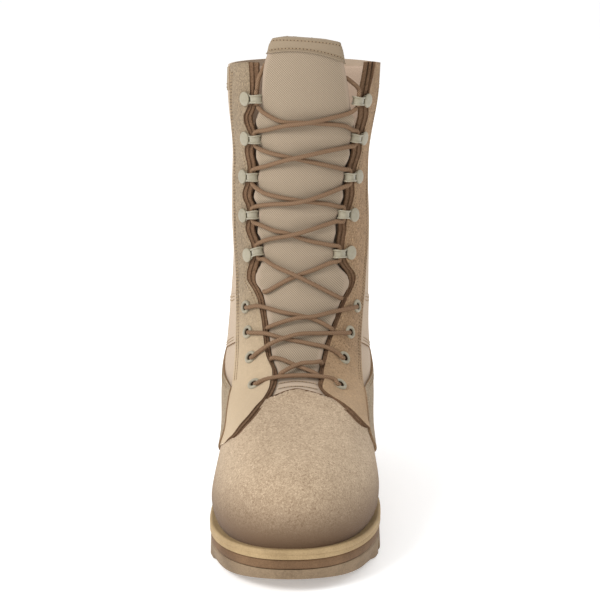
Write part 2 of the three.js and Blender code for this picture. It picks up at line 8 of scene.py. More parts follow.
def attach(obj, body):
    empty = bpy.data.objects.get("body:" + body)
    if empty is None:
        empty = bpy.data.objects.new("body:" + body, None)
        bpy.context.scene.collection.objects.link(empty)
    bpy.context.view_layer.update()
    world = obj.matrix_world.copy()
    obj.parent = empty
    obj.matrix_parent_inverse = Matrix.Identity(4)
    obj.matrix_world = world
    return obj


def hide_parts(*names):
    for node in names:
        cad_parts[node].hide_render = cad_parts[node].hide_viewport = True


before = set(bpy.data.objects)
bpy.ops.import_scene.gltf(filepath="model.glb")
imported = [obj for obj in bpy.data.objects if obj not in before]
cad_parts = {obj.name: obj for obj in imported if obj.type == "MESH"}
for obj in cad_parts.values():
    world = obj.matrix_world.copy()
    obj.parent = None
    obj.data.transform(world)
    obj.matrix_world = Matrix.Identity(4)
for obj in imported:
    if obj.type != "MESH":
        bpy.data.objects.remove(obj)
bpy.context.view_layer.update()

# A left combat boot. Lengths are millimetres in the tables and become metres in the meshes.
# The toe points to -Y, +Z is up and +X is the outer (lateral) side.
MM = 0.001
MEDIAL = -1
LATERAL = 1
SIDES = ((MEDIAL, "medial"), (LATERAL, "lateral"))
Y_AXIS = 1
Z_AXIS = 2

# The last's form: the same tables as the CAD part's.
TOE_Y = -152
HEEL_Y = 152
LEDGE = 5.5
PLAN = {
    "y": (-152, -115, -78, -50, -10, 35, 85, 152),
    "middle": (-5.6, -4.4, -2.6, -2.2, -2.0, -1.6, -1.0, -0.8),
    MEDIAL: (49.0, 52.8, 54.5, 53.5, 47.0, 41.0, 39.5, 39.5),
    LATERAL: (49.5, 52.5, 54.5, 54.5, 50.0, 43.5, 40.5, 39.5),
    "bulge": (3.0, 5.6, 6.4, 6.6, 8.0, 8.0, 4.5, 2.0),
}
TOE_ROUND = {"start": -72, "power": 2.35}
HEEL_ROUND = {"start": 98, "power": 2.3}
SOLE = {
    "y": (-152, -132, -112, -92, -82, -30, 20, 70, 112, 136, 152),
    "feather": (27.5, 26.0, 25.2, 24.8, 24.8, 26.0, 29.8, 34.8, 38.2, 39.6, 40.2),
    "wedge": (15.2, 13.8, 13.0, 12.6, 12.6, 13.2, 14.6, 16.4, 17.8, 18.4, 18.8),
    "tread": (9.4, 5.0, 2.0, 0.3, 0, 0, 0, 0, 0, 0, 3.0),
}
RIDGE = {
    "y": (-146.3, -146.0, -143.4, -137.0, -125.0, -105.0, -80.0, -58.0, -42.0, -28.0, -16.0,
          -6.0, 2.0, 7.5, 10.5, 12.0, 12.5),
    "z": (27.5, 39, 51, 61, 69.5, 77, 83.5, 89, 94.4, 102.5, 114, 129, 147, 168, 196, 245, 330),
}
RIDGE_TOP = {"y": 7.5, "z": 168, "slope": 9}
BACK = {
    "z": (36, 56, 76, 98, 126, 165, 225, 330),
    "y": (145.0, 147.5, 146.0, 141.5, 137.5, 137.0, 139.0, 140.5),
}
SHAFT = {
    "z": (40, 77, 95, 113, 130, 165, 191, 216, 242, 275, 296, 330),
    "middle": (-2.2, -1.4, -1.0, -0.7, 0, 1.2, 0.8, 0.4, 0.7, 2.1, 3.0, 4.0),
    "half": (50.0, 51.2, 50.0, 48.6, 48.0, 48.0, 48.6, 48.0, 47.8, 52.0, 52.6, 53.4),
}
SHAFT_POWER = {"front": 2.15, "back": 2.3}
FOOT_TO_SHAFT = {"from": 30, "to": 92}
VAMP_POWER = 2.9
BULGE = {"height": 60, "low": 0.75}
THROAT = {
    "z": (93.8, 95.4, 112, 130, 147, 159, 172, 198, 224, 250, 276, 330),
    "middle": (-1.5, -1.5, -1.2, 0.4, 2.2, 0.6, -0.8, -0.5, 1.1, 4.0, 5.4, 6.4),
}
EYELETS = ((95.0, 27.8), (108.0, 30.5), (122.2, 33.5), (137.3, 36.6))
HOOKS = ((172.2, 33.3), (198.3, 35.8), (224.4, 37.6), (250.5, 38.3), (276.6, 39.3))
HOOK_LIFT = 1.1
# How each hook sits, from the lowest: out from its place, up from its place, and its tilt.
HOOK_SET = {
    MEDIAL: ((-0.9, 0.0, 20), (-0.2, 0.3, 10), (-0.4, 0.6, 5), (0.3, 0.7, 3), (0.5, 1.3, 4)),
    LATERAL: ((0.5, 2.2, 5), (-0.3, 1.2, 9), (-0.7, 0.3, 5), (-1.0, 0.0, 7), (-1.2, -0.3, 4)),
}
EYELET_LIFT = 1.5
# The suede's edge down each side of the throat, and how far the brown layers below it show.
FACING = {
    "z": (99, 104, 110, 120, 132, 142, 147, 151, 155, 160, 167, 173, 180, 185, 190, 197, 205, 209,
          214, 220, 230, 235, 241, 246, 253, 260, 266, 272, 280, 290, 302),
    MEDIAL: (17.2, 17.6, 21, 23.1, 24.6, 26.8, 28.5, 31.2, 34.4, 34.6, 32.8, 31.2, 31.5, 33.7, 35.4,
             34.4, 34.4, 36.6, 37.3, 35.4, 33.8, 34.3, 35.6, 35.2, 32.4, 35, 36, 33.5, 32, 32, 33),
    LATERAL: (15, 15.6, 17.6, 20.6, 25.9, 30, 33, 35.6, 37, 36.4, 32, 29.8, 29.4, 29.8, 30.6, 30.9,
              34, 35, 36.1, 35.8, 37.2, 38.8, 40.8, 41, 42, 43.8, 45.3, 45, 44.5, 45.5, 47),
}
FACING_BAND = {
    "z": (99, 132, 150, 160, 200, 260, 275, 302),
    MEDIAL: (2.5, 2.6, 3.4, 4.2, 4.2, 3.6, 3.4, 5.5),
    LATERAL: (2.2, 1.8, 1.8, 3.4, 3.9, 4.7, 4.6, 4.6),
}


def clamp(v, low, high):
    return min(high, max(low, v))


def mix(a, b, t):
    return a + (b - a) * t


def smooth(t):
    t = clamp(t, 0.0, 1.0)
    return t * t * (3 - 2 * t)


def hump(t, centre, reach):
    """A soft rise of height 1 at the centre that ends at the reach."""
    return 1 - smooth(abs(t - centre) / reach)


def column(table, key, name, at):
    """A table's column at a place along its key column, as a smooth curve through the rows."""
    keys = table[key]
    values = table[name]
    last = len(keys) - 1
    t = clamp(at, keys[0], keys[last])
    i = 0
    while i < last - 1 and t > keys[i + 1]:
        i += 1
    span = keys[i + 1] - keys[i]
    u = (t - keys[i]) / span
    before = max(i - 1, 0)
    after = min(i + 2, last)
    slope_a = (values[i + 1] - values[before]) / (keys[i + 1] - keys[before])
    slope_b = (values[after] - values[i]) / (keys[after] - keys[i])
    rise = u * (1 - u) * (1 - u) * slope_a - u * u * (1 - u) * slope_b
    return mix(values[i], values[i + 1], u * u * (3 - 2 * u)) + span * rise


def solve(rising, value, low, high):
    for _ in range(34):
        half = (low + high) / 2
        if rising(half) < value:
            low = half
        else:
            high = half
    return (low + high) / 2


def rounding(t, power):
    return (1 - clamp(t, 0.0, 1.0) ** power) ** (1 / power)


def plan_half(side, y, inset, heel_y=None, toe_y=None):
    """Half width of the sole's outline, drawn in by an inset, with its toe and heel rounded."""
    heel_y = HEEL_Y - inset if heel_y is None else heel_y
    toe_y = TOE_Y + inset if toe_y is None else toe_y
    start = TOE_ROUND["start"]
    toe = rounding((start - y) / (start - toe_y), TOE_ROUND["power"])
    start = HEEL_ROUND["start"]
    heel = rounding((y - start) / (heel_y - start), HEEL_ROUND["power"])
    return (column(PLAN, "y", side, y) - inset) * toe * heel


def middle_x(y):
    return column(PLAN, "y", "middle", y)


def feather_z(y):
    return column(SOLE, "y", "feather", y)


def ridge_y(z):
    return column(RIDGE, "z", "y", z)


def back_y(z):
    return column(BACK, "z", "y", z)


RIDGE_FIRST = RIDGE["y"][0]
RIDGE_HEIGHTS = [solve(ridge_y, RIDGE_FIRST + i, RIDGE["z"][0], RIDGE_TOP["z"]) for i in range(155)]


def ridge_z(y):
    at = clamp(min(y, RIDGE_TOP["y"]) - RIDGE_FIRST, 0, len(RIDGE_HEIGHTS) - 1.001)
    i = int(at)
    z = mix(RIDGE_HEIGHTS[i], RIDGE_HEIGHTS[i + 1], at - i)
    return z + max(0, y - RIDGE_TOP["y"]) * RIDGE_TOP["slope"]


def foot_half(side, y, z):
    above = z - feather_z(y)
    share = clamp(above / max(ridge_z(y) - feather_z(y), 0.01), 0, 1)
    swell = math.sin(math.pi * clamp(above / BULGE["height"], 0, 1) ** BULGE["low"])
    ends = plan_half(side, y, LEDGE, back_y(z), RIDGE_FIRST)
    bulge = 1 + column(PLAN, "y", "bulge", y) * swell / column(PLAN, "y", side, y)
    return ends * bulge * math.sqrt(1 - share**VAMP_POWER)


def shaft_half(y, z):
    front = ridge_y(z)
    back = back_y(z)
    centre = (front + back) / 2
    t = abs(y - centre) / ((back - front) / 2)
    return column(SHAFT, "z", "half", z) * rounding(t, SHAFT_POWER["front" if y < centre else "back"])


def shaft_share(z):
    return smooth((z - FOOT_TO_SHAFT["from"]) / (FOOT_TO_SHAFT["to"] - FOOT_TO_SHAFT["from"]))


def form_middle(y, z):
    return mix(middle_x(y), column(SHAFT, "z", "middle", z), shaft_share(z))


def form_x(side, y, z):
    share = shaft_share(z)
    half = mix(foot_half(side, y, z), shaft_half(y, z), share)
    return form_middle(y, z) + side * half


# A chart of the form: "level" runs up from the feather line to the collar, and "round" goes
# from the front ridge (0) to the back seam (1 by the lateral side, -1 by the medial side).
LOW_RINGS = 7
VAMP_RINGS = 15
TOP_RING = 23
LEVELS = {
    "level": (0, LOW_RINGS, VAMP_RINGS, TOP_RING),
    "front": (feather_z(RIDGE_FIRST), 74, 149, 301),
    "back": (feather_z(BACK["y"][0]), 66, 124, 296),
}
LEVEL_CELLS = 6
ROUND_CELLS = 96


def level_heights(level):
    i = 0 if level < LOW_RINGS else 1 if level < VAMP_RINGS else 2
    t = (level - LEVELS["level"][i]) / (LEVELS["level"][i + 1] - LEVELS["level"][i])
    front = mix(LEVELS["front"][i], LEVELS["front"][i + 1], t)
    back = mix(LEVELS["back"][i], LEVELS["back"][i + 1], t)
    return front, back, max(0, 1 - level / LOW_RINGS)


def level_z(level, y):
    front_z, back_z, follow = level_heights(level)
    front = ridge_y(front_z)
    back = back_y(back_z)
    s = clamp((y - front) / (back - front), 0, 1)
    sag = feather_z(y) - mix(feather_z(front), feather_z(back), s)
    return mix(front_z, back_z, s) + follow * sag, s


def form_point(level, around):
    front_z, back_z, _ = level_heights(level)
    s = (1 - math.cos(math.pi * around)) / 2
    y = mix(ridge_y(front_z), back_y(back_z), s)
    z, _ = level_z(level, y)
    side = MEDIAL if around < 0 else LATERAL
    on_seam = abs(around) < 1e-6 or abs(abs(around) - 1) < 1e-6
    return Vector((form_middle(y, z) if on_seam else form_x(side, y, z), y, z))


def round_toe(line):
    """Spreads a low row's points evenly across the front of the toe."""
    reach = round(0.05 * ROUND_CELLS)
    middle = line[ROUND_CELLS].x
    for turn in (-1, 1):
        far = line[ROUND_CELLS + turn * reach].x
        for step in range(1, reach):
            line[ROUND_CELLS + turn * step].x = mix(middle, far, step / reach)


def chart_tables():
    rows = TOP_RING * LEVEL_CELLS
    points = []
    for i in range(rows + 1):
        line = [form_point(i / LEVEL_CELLS, j / ROUND_CELLS) for j in range(-ROUND_CELLS, ROUND_CELLS)]
        if i < 4 * LEVEL_CELLS:
            round_toe(line)
        points.append(line)
    normals = []
    for i in range(rows + 1):
        line = []
        for j in range(2 * ROUND_CELLS):
            along = points[i][(j + 1) % (2 * ROUND_CELLS)] - points[i][j - 1]
            up = points[min(i + 1, rows)][j] - points[max(i - 1, 0)][j]
            line.append(along.cross(up).normalized())
        normals.append(line)
    return points, normals


CHART_POINTS, CHART_NORMALS = chart_tables()


def spline_weights(t):
    t2 = t * t
    t3 = t2 * t
    return (
        (-t3 + 2 * t2 - t) / 2,
        (3 * t3 - 5 * t2 + 2) / 2,
        (-3 * t3 + 4 * t2 + t) / 2,
        (t3 - t2) / 2,
    )


def chart_cell(level, around):
    rows = len(CHART_POINTS) - 1
    at = clamp(level, 0, TOP_RING) * LEVEL_CELLS
    i = min(int(at), rows - 1)
    turn = (around + 1) * ROUND_CELLS
    j = math.floor(turn)
    return rows, i, at - i, j, turn - j


def chart_normal(level, around):
    _, i, u, j, v = chart_cell(level, around)
    count = 2 * ROUND_CELLS
    low = CHART_NORMALS[i][j % count].lerp(CHART_NORMALS[i][(j + 1) % count], v)
    high = CHART_NORMALS[i + 1][j % count].lerp(CHART_NORMALS[i + 1][(j + 1) % count], v)
    return low.lerp(high, u).normalized()


def on_form(level, around, lift=0.0):
    """A point on the form at a place in the chart, raised along the normal."""
    rows, i, u, j, v = chart_cell(level, around)
    count = 2 * ROUND_CELLS
    total = Vector((0, 0, 0))
    for di, wi in zip((-1, 0, 1, 2), spline_weights(u)):
        line = CHART_POINTS[clamp(i + di, 0, rows)]
        for dj, wj in zip((-1, 0, 1, 2), spline_weights(v)):
            total += line[(j + dj) % count] * (wi * wj)
    if level < 0:
        total += (CHART_POINTS[0][j % count] - CHART_POINTS[1][j % count]) * (-level * LEVEL_CELLS)
    if level > TOP_RING:
        step = CHART_POINTS[rows][j % count] - CHART_POINTS[rows - 1][j % count]
        total += step * ((level - TOP_RING) * LEVEL_CELLS)
    return total + chart_normal(level, around) * lift


def spot(side, y, z):
    """The chart place of a point in the side view."""
    level = solve(lambda a: level_z(a, y)[0], z, 0, TOP_RING)
    _, s = level_z(level, y)
    return Vector((level, side * math.acos(1 - 2 * s) / math.pi))


def front_y(x, z):
    """The form's depth at a place in the front view."""
    if z >= FOOT_TO_SHAFT["to"]:
        front = ridge_y(z)
        back = back_y(z)
        reach = abs(x - column(SHAFT, "z", "middle", z)) / column(SHAFT, "z", "half", z)
        return (front + back) / 2 - (back - front) / 2 * rounding(reach, SHAFT_POWER["front"])
    centre = form_middle(ridge_y(z), z)
    side = MEDIAL if x < centre else LATERAL
    return solve(
        lambda y: side * (form_x(side, y, z) - centre),
        abs(x - centre), ridge_y(z), (ridge_y(z) + back_y(z)) / 2,
    )


def front_spot(x, z):
    """The chart place of a point in the front view."""
    y = front_y(x, z)
    return spot(MEDIAL if x < form_middle(y, z) else LATERAL, y, z)


def surface(x, z, lift=0.0):
    """A point in the front view, raised from the form, and the form's normal there."""
    step = 0.8
    dx = Vector((2 * step, front_y(x + step, z) - front_y(x - step, z), 0))
    dz = Vector((0, front_y(x, z + step) - front_y(x, z - step), 2 * step))
    normal = dx.cross(dz).normalized()
    return Vector((x, front_y(x, z), z)) + normal * lift, normal


def throat_x(z):
    return column(THROAT, "z", "middle", z)


def seat(side, z, half, lift):
    """A fastener's seat: X runs to the outer side, Y up the boot and Z out of the facing."""
    point, normal = surface(throat_x(z) + side * half, z, lift)
    up = Vector((0, 0, 1))
    up = (up - normal * normal.z).normalized()
    across = up.cross(normal)
    matrix = Matrix((across, up, normal)).transposed().to_4x4()
    matrix.translation = point
    return matrix


def hook_seat(side, index):
    """A hook's seat, turned so that X runs from its disc to the throat."""
    z, half = HOOKS[index]
    shift, rise, tilt = HOOK_SET[side][index]
    place = seat(side, z + rise, half + shift, HOOK_LIFT)
    facing = Matrix.Diagonal((-side, 1, 1, 1))
    return place @ facing @ Matrix.Rotation(math.radians(tilt), 4, "Z")


def facing_x(side, z, share=0.0):
    """The facing's edge in the front view: share 0 is the suede's and 1 the innermost layer's."""
    return side * (column(FACING, "z", side, z) - share * column(FACING_BAND, "z", side, z))


def throat_gap(x, z):
    """How far a place between the facings lies from the nearer innermost edge."""
    return min(facing_x(LATERAL, z, 1) - x, x - facing_x(MEDIAL, z, 1))


# Building: primitives are added, shaped and finished with applied modifiers.
def deselect():
    for other in bpy.context.selected_objects:
        other.select_set(False)


def select_only(piece):
    deselect()
    piece.select_set(True)
    bpy.context.view_layer.objects.active = piece


def edit(action, **settings):
    bpy.ops.object.mode_set(mode="EDIT")
    bpy.ops.mesh.select_all(action="SELECT")
    action(**settings)
    bpy.ops.object.mode_set(mode="OBJECT")


def grid_piece(name, columns, rows, place, uv=None, closed=False):
    """A grid whose vertices are placed by a function of the shares across and along."""
    deselect()
    bpy.ops.mesh.primitive_grid_add(x_subdivisions=columns, y_subdivisions=rows, size=2, calc_uvs=True)
    piece = bpy.context.active_object
    piece.name = name
    mesh = piece.data
    mesh.name = name
    shares = [((v.co.x + 1) / 2, (v.co.y + 1) / 2) for v in mesh.vertices]
    flat = []
    for u, v in shares:
        flat.extend(place(u, v) * MM)
    mesh.vertices.foreach_set("co", flat)
    if uv:
        layer = mesh.uv_layers[0].data
        places = [uv(u, v) for u, v in shares]
        for loop in mesh.loops:
            layer[loop.index].uv = places[loop.vertex_index]
    mesh.update()
    if closed:
        edit(bpy.ops.mesh.remove_doubles, threshold=0.00002)
        edit(bpy.ops.mesh.normals_make_consistent, inside=False)
    return piece


def flip(piece):
    select_only(piece)
    edit(bpy.ops.mesh.flip_normals)


def face_along(piece, axis, sign=1):
    """Turns a sheet so that its furthest face along an axis looks that way."""
    far = max(piece.data.polygons, key=lambda p: sign * p.center[axis])
    if sign * far.normal[axis] < 0:
        flip(piece)


def modify(piece, kind, **settings):
    select_only(piece)
    modifier = piece.modifiers.new(kind.lower(), kind)
    for name, value in settings.items():
        setattr(modifier, name, value)
    bpy.ops.object.modifier_apply(modifier=modifier.name)


def soften(piece, angle=40):
    select_only(piece)
    bpy.ops.object.shade_smooth_by_angle(angle=math.radians(angle))


def coat(piece, *materials):
    piece.data.materials.clear()
    for material in materials:
        piece.data.materials.append(material)


def thicken(piece, thickness, bevel):
    """Gives a sheet its thickness inwards, with rounded rims of the second material."""
    rim = 1 if len(piece.data.materials) > 1 else 0
    modify(
        piece, "SOLIDIFY", thickness=thickness * MM, offset=-1, use_even_offset=False,
        use_quality_normals=True, material_offset_rim=rim,
    )
    if bevel:
        modify(
            piece, "BEVEL", width=bevel * MM, segments=2, limit_method="ANGLE",
            angle_limit=math.radians(50), use_clamp_overlap=True,
        )


def publish(piece, slot, *replaced):
    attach(piece, "root")
    if replaced:
        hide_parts(*replaced)


def make_up(piece, slot, coats, *replaced, thick=0, bevel=0.35, angle=40):
    """Coats a shaped piece, thickens and smooths it, and puts it on the boot."""
    coat(piece, *coats)
    if thick:
        thicken(piece, thick, bevel)
    soften(piece, angle)
    publish(piece, slot, *replaced)


def sized_uv(across, along):
    """A UV map of a grid in metres."""
    return lambda u, v: (u * across, v * along)


def remembered(function):
    """A function of a share whose answers are worked out once."""
    answers = {}

    def at(share):
        key = round(share, 5)
        if key not in answers:
            answers[key] = function(share)
        return answers[key]

    return at


def distances(points):
    steps = [(b - a).length for a, b in zip(points, points[1:])]
    return [0.0, *accumulate(steps)]


def through(points):
    """A smooth curve through points, as a function of the share of its length."""
    lengths = distances(points)
    total = lengths[-1]
    last = len(points) - 1

    def tangent(k):
        a = max(k - 1, 0)
        b = min(k + 1, last)
        return (points[b] - points[a]) / (lengths[b] - lengths[a])

    def at(share):
        d = clamp(share, 0, 1) * total
        i = 0
        while i < last - 1 and d > lengths[i + 1]:
            i += 1
        span = lengths[i + 1] - lengths[i]
        u = (d - lengths[i]) / span
        rise = tangent(i) * (u * (1 - u) ** 2) - tangent(i + 1) * (u * u * (1 - u))
        return points[i].lerp(points[i + 1], u * u * (3 - 2 * u)) + rise * span

    return at


def joined(parts):
    """Curves one after another: each part is (end share, curve)."""

    def at(share):
        start = 0.0
        for end, curve in parts:
            if share <= end or end == parts[-1][0]:
                return curve((share - start) / (end - start))
            start = end

    return at


def side_edge(side, points):
    return through([spot(side, y, z) for y, z in points])


def inset_line(near, far, distance):
    """A line on the form at a distance in from the near edge."""

    def at(share):
        a = near(share)
        b = far(share)
        step = a.lerp(b, 0.02)
        width = (on_form(*step) - on_form(*a)).length / 0.02
        return a.lerp(b, distance / max(width, 1))

    return at


def ladder(name, near, far, columns, rows, lift, puff=None):
    """A panel on the form between two edges, with a UV map in metres."""

    def place(u, v):
        level, around = near(v).lerp(far(v), u)
        extra = puff(u, v) if puff else 0.0
        return on_form(to_collar(level), around, lift + extra)

    middle = distances([on_form(*near(j / 40).lerp(far(j / 40), 0.5)) for j in range(41)])
    width = sum((on_form(*near(j / 10)) - on_form(*far(j / 10))).length for j in range(11)) / 11

    def uv(u, v):
        at = clamp(v, 0, 1) * 39.999
        i = int(at)
        return (u * width * MM, mix(middle[i], middle[i + 1], at - i) * MM)

    piece = grid_piece(name, columns, rows, place, uv)
    centre = piece.data.polygons[len(piece.data.polygons) // 2]
    level, around = near(0.5).lerp(far(0.5), 0.5)
    if centre.normal.dot(chart_normal(level, around)) < 0:
        flip(piece)
    return piece


def copies(name, template, places):
    """One mesh of many copies of a template, each at its own place."""
    source = [v.co.copy() for v in template.data.vertices]
    faces = [tuple(p.vertices) for p in template.data.polygons]
    vertices = []
    polygons = []
    for matrix in places:
        base = len(vertices)
        vertices.extend(matrix @ co for co in source)
        polygons.extend(tuple(base + k for k in face) for face in faces)
    mesh = bpy.data.meshes.new(name)
    mesh.from_pydata(vertices, [], polygons)
    mesh.update()
    piece = bpy.data.objects.new(name, mesh)
    bpy.context.collection.objects.link(piece)
    soften(piece, 60)
    return piece


def sweep(name, route, radius, spacing, sides, braid=0.0):
    """A round cord along a route, with a UV map of length and turn, and a braided surface."""
    curve = through(route)
    total = distances([curve(i / 400) for i in range(401)])[-1]
    steps = max(8, round(total / spacing))
    centres = [curve(i / steps) for i in range(steps + 1)]
    frames = []
    ahead = (centres[1] - centres[0]).normalized()
    across = ahead.orthogonal().normalized()
    for i, centre in enumerate(centres):
        after = centres[min(i + 1, steps)] - centres[max(i - 1, 0)]
        ahead = after.normalized()
        across = (across - ahead * across.dot(ahead)).normalized()
        frames.append((centre, across, ahead.cross(across)))

    def place(u, v):
        centre, across, up = frames[round(v * steps)]
        turn = 2 * math.pi * u
        along = v * total
        twist = math.cos(4 * turn + 1.9 * along) + math.cos(4 * turn - 1.9 * along)
        end = 1.0 if 0 < v < 1 else 0.02
        r = radius * end * (1 + braid * twist)
        return centre + (across * math.cos(turn) + up * math.sin(turn)) * r

    uv = sized_uv(2 * math.pi * radius * MM, total * MM)
    piece = grid_piece(name, sides, steps, place, uv, closed=True)
    soften(piece, 80)
    return piece, centres


# Materials.
def colour(red, green, blue):
    """A colour given by its eight-bit screen values."""

    def linear(value):
        share = value / 255
        return share / 12.92 if share <= 0.04045 else ((share + 0.055) / 1.055) ** 2.4

    return (linear(red), linear(green), linear(blue), 1.0)


def add_node(tree, kind, inputs=None, **settings):
    node = tree.nodes.new(kind)
    for name, value in settings.items():
        setattr(node, name, value)
    for name, value in (inputs or {}).items():
        socket = node.inputs[name]
        if isinstance(value, bpy.types.NodeSocket):
            tree.links.new(value, socket)
        else:
            socket.default_value = value
    return node


def effect_group(name, **scales):
    """A node group that takes a place and its scales, and puts out a tone and a height."""
    tree = bpy.data.node_groups.new(name, "ShaderNodeTree")
    tree.interface.new_socket("Vector", in_out="INPUT", socket_type="NodeSocketVector")
    for title, value in scales.items():
        socket = tree.interface.new_socket(title, in_out="INPUT", socket_type="NodeSocketFloat")
        socket.default_value = value
    for title in ("Tone", "Height"):
        tree.interface.new_socket(title, in_out="OUTPUT", socket_type="NodeSocketFloat")
    return tree, tree.nodes.new("NodeGroupInput"), tree.nodes.new("NodeGroupOutput")


def math_node(tree, operation, a, b=0.0):
    node = tree.nodes.new("ShaderNodeMath")
    node.operation = operation
    for socket, value in zip(node.inputs, (a, b)):
        if isinstance(value, bpy.types.NodeSocket):
            tree.links.new(value, socket)
        else:
            socket.default_value = value
    return node.outputs[0]


def weighted(tree, *parts):
    """The sum of values, each times its share."""
    total = None
    for value, share in parts:
        part = math_node(tree, "MULTIPLY", value, share)
        total = part if total is None else math_node(tree, "ADD", total, part)
    return total


def nap_group():
    """Brushed leather fibres: a mottled tone and a short, uneven pile."""
    tree, given, result = effect_group("nap", Patches=60.0, Fibres=1500.0)
    place = given.outputs["Vector"]
    patches = add_node(tree, "ShaderNodeTexNoise", {
        "Vector": place, "Scale": given.outputs["Patches"], "Detail": 4.0, "Roughness": 0.62,
        "Distortion": 0.6}).outputs[0]
    grain = add_node(tree, "ShaderNodeTexNoise", {
        "Vector": place, "Scale": given.outputs["Fibres"], "Detail": 3.0, "Roughness": 0.7,
        "Distortion": 1.2}).outputs[0]
    broad = add_node(tree, "ShaderNodeTexNoise", {"Vector": place, "Scale": 14.0, "Detail": 2.0}).outputs[0]
    tone = weighted(tree, (patches, 0.16), (grain, 0.9), (broad, 0.14))
    tree.links.new(tone, result.inputs["Tone"])
    height = math_node(tree, "ADD", grain, math_node(tree, "MULTIPLY", patches, 0.1))
    tree.links.new(height, result.inputs["Height"])
    return tree


def weave_group():
    """Two sets of yarns that cross: the height of the yarns and the dark holes between them."""
    tree, given, result = effect_group("weave", Yarns=700.0, Turn=0.785)
    scaled = add_node(tree, "ShaderNodeVectorMath", {
        0: given.outputs["Vector"], "Scale": given.outputs["Yarns"]}, operation="SCALE").outputs[0]
    turned = add_node(tree, "ShaderNodeVectorRotate", {
        "Vector": scaled, "Angle": given.outputs["Turn"]}, rotation_type="Z_AXIS")
    wobble = add_node(tree, "ShaderNodeTexNoise", {"Vector": scaled, "Scale": 0.35})
    parts = add_node(tree, "ShaderNodeSeparateXYZ", {"Vector": turned.outputs[0]})
    shift = math_node(tree, "MULTIPLY", wobble.outputs[0], 0.15)
    yarns = []
    for axis in ("X", "Y"):
        moved = math_node(tree, "ADD", parts.outputs[axis], shift)
        yarns.append(math_node(tree, "SINE", math_node(tree, "MULTIPLY", moved, 2 * math.pi)))
    crossing = math_node(tree, "MULTIPLY", *yarns)
    height = math_node(tree, "POWER", math_node(tree, "ABSOLUTE", crossing), 0.5)
    tree.links.new(height, result.inputs["Height"])
    ribs = math_node(tree, "POWER", math_node(tree, "ABSOLUTE", yarns[1]), 0.6)
    tree.links.new(weighted(tree, (ribs, 0.55), (height, 0.45)), result.inputs["Tone"])
    return tree


def rubber_group():
    """Moulded rubber: a fine grain with faint marks of handling."""
    tree, given, result = effect_group("rubber_grain", Grain=900.0)
    place = given.outputs["Vector"]
    fine = add_node(tree, "ShaderNodeTexNoise", {
        "Vector": place, "Scale": given.outputs["Grain"], "Detail": 2.0}).outputs[0]
    marks = add_node(tree, "ShaderNodeTexNoise", {
        "Vector": place, "Scale": 38.0, "Detail": 5.0, "Roughness": 0.65}).outputs[0]
    tree.links.new(weighted(tree, (fine, 0.4), (marks, 0.6)), result.inputs["Tone"])
    tree.links.new(fine, result.inputs["Height"])
    return tree


def blended(tree, share, first, second):
    """A colour between two others."""
    node = add_node(tree, "ShaderNodeMix", {"Factor": share, 6: first, 7: second}, data_type="RGBA")
    return node.outputs[2]


def finish_material(name, group, settings, dark, light, roughness, bump, source="Object", **extra):
    """A surface whose tone runs between two colours, with a bump from its group's height."""
    material = bpy.data.materials.new(name)
    material.use_nodes = True
    tree = material.node_tree
    shader = tree.nodes["Principled BSDF"]
    place = add_node(tree, "ShaderNodeTexCoord")
    effect = add_node(tree, "ShaderNodeGroup", node_tree=group)
    tree.links.new(place.outputs[source], effect.inputs["Vector"])
    for title, value in settings.items():
        effect.inputs[title].default_value = value
    spread = extra.pop("spread", (0.35, 0.75))
    tone = add_node(tree, "ShaderNodeMapRange", {
        "Value": effect.outputs["Tone"], "From Min": spread[0], "From Max": spread[1]})
    base = blended(tree, tone.outputs[0], colour(*dark), colour(*light))
    strength = bump[0]
    plain = extra.pop("plain", None)
    if plain:
        woven = add_node(tree, "ShaderNodeAttribute", attribute_name="woven").outputs["Fac"]
        base = blended(tree, woven, colour(*plain), base)
        strength = math_node(tree, "MULTIPLY", woven, bump[0])
    # A colour blended in towards the bottom of the piece: on the suedes darkened towards the sole it is
    # painted shade.
    low = extra.pop("low", None)
    if low:
        parts = add_node(tree, "ShaderNodeSeparateXYZ", {"Vector": place.outputs["Object"]})
        ground = add_node(tree, "ShaderNodeMapRange", {
            "Value": parts.outputs["Z"], "From Min": low["from"] * MM, "From Max": low["to"] * MM,
            "To Min": low["share"], "To Max": 0.0}, interpolation_type="SMOOTHSTEP")
        base = blended(tree, ground.outputs[0], base, colour(*low["colour"]))
    tree.links.new(base, shader.inputs["Base Color"])
    rough = add_node(tree, "ShaderNodeMapRange", {
        "Value": effect.outputs["Tone"], "To Min": roughness[0], "To Max": roughness[1]})
    tree.links.new(rough.outputs[0], shader.inputs["Roughness"])
    relief = add_node(tree, "ShaderNodeBump", {
        "Strength": strength, "Distance": bump[1] * MM, "Height": effect.outputs["Height"]})
    tree.links.new(relief.outputs["Normal"], shader.inputs["Normal"])
    for title, value in extra.items():
        shader.inputs[title.replace("_", " ").title().replace("Ior", "IOR")].default_value = value
    return material


NAP = nap_group()
WEAVE = weave_group()
GRAIN = rubber_group()

LOW_FACING = {"from": 84, "to": 160, "share": 0.8, "colour": (201, 178, 147)}
LOW_WARM = {"from": 84, "to": 120, "share": 0.45, "colour": (196, 166, 130)}
# Painted shade: the suede darkens towards the sole, for the shading of the lower toe and the dark line
# where the upper meets the welt.
LOW_SHADE = {"from": 28, "to": 63, "share": 1.0, "colour": (104, 82, 62)}


def suede(name, dark, light, low, patches=170.0, fibres=850.0, bump=(0.8, 0.6), spread=(0.34, 0.8)):
    return finish_material(
        name, NAP, {"Patches": patches, "Fibres": fibres}, dark, light, (0.9, 1.0), bump,
        spread=spread, low=low, sheen_weight=0.1, sheen_roughness=0.6, specular_ior_level=0.12)


def napped(name, patches, length, dark, light, bump=(0.2, 0.2), dry=0.95, specular=0.1):
    return finish_material(
        name, NAP, {"Patches": patches, "Fibres": length}, dark, light, (dry, 1.0), bump,
        specular_ior_level=specular)


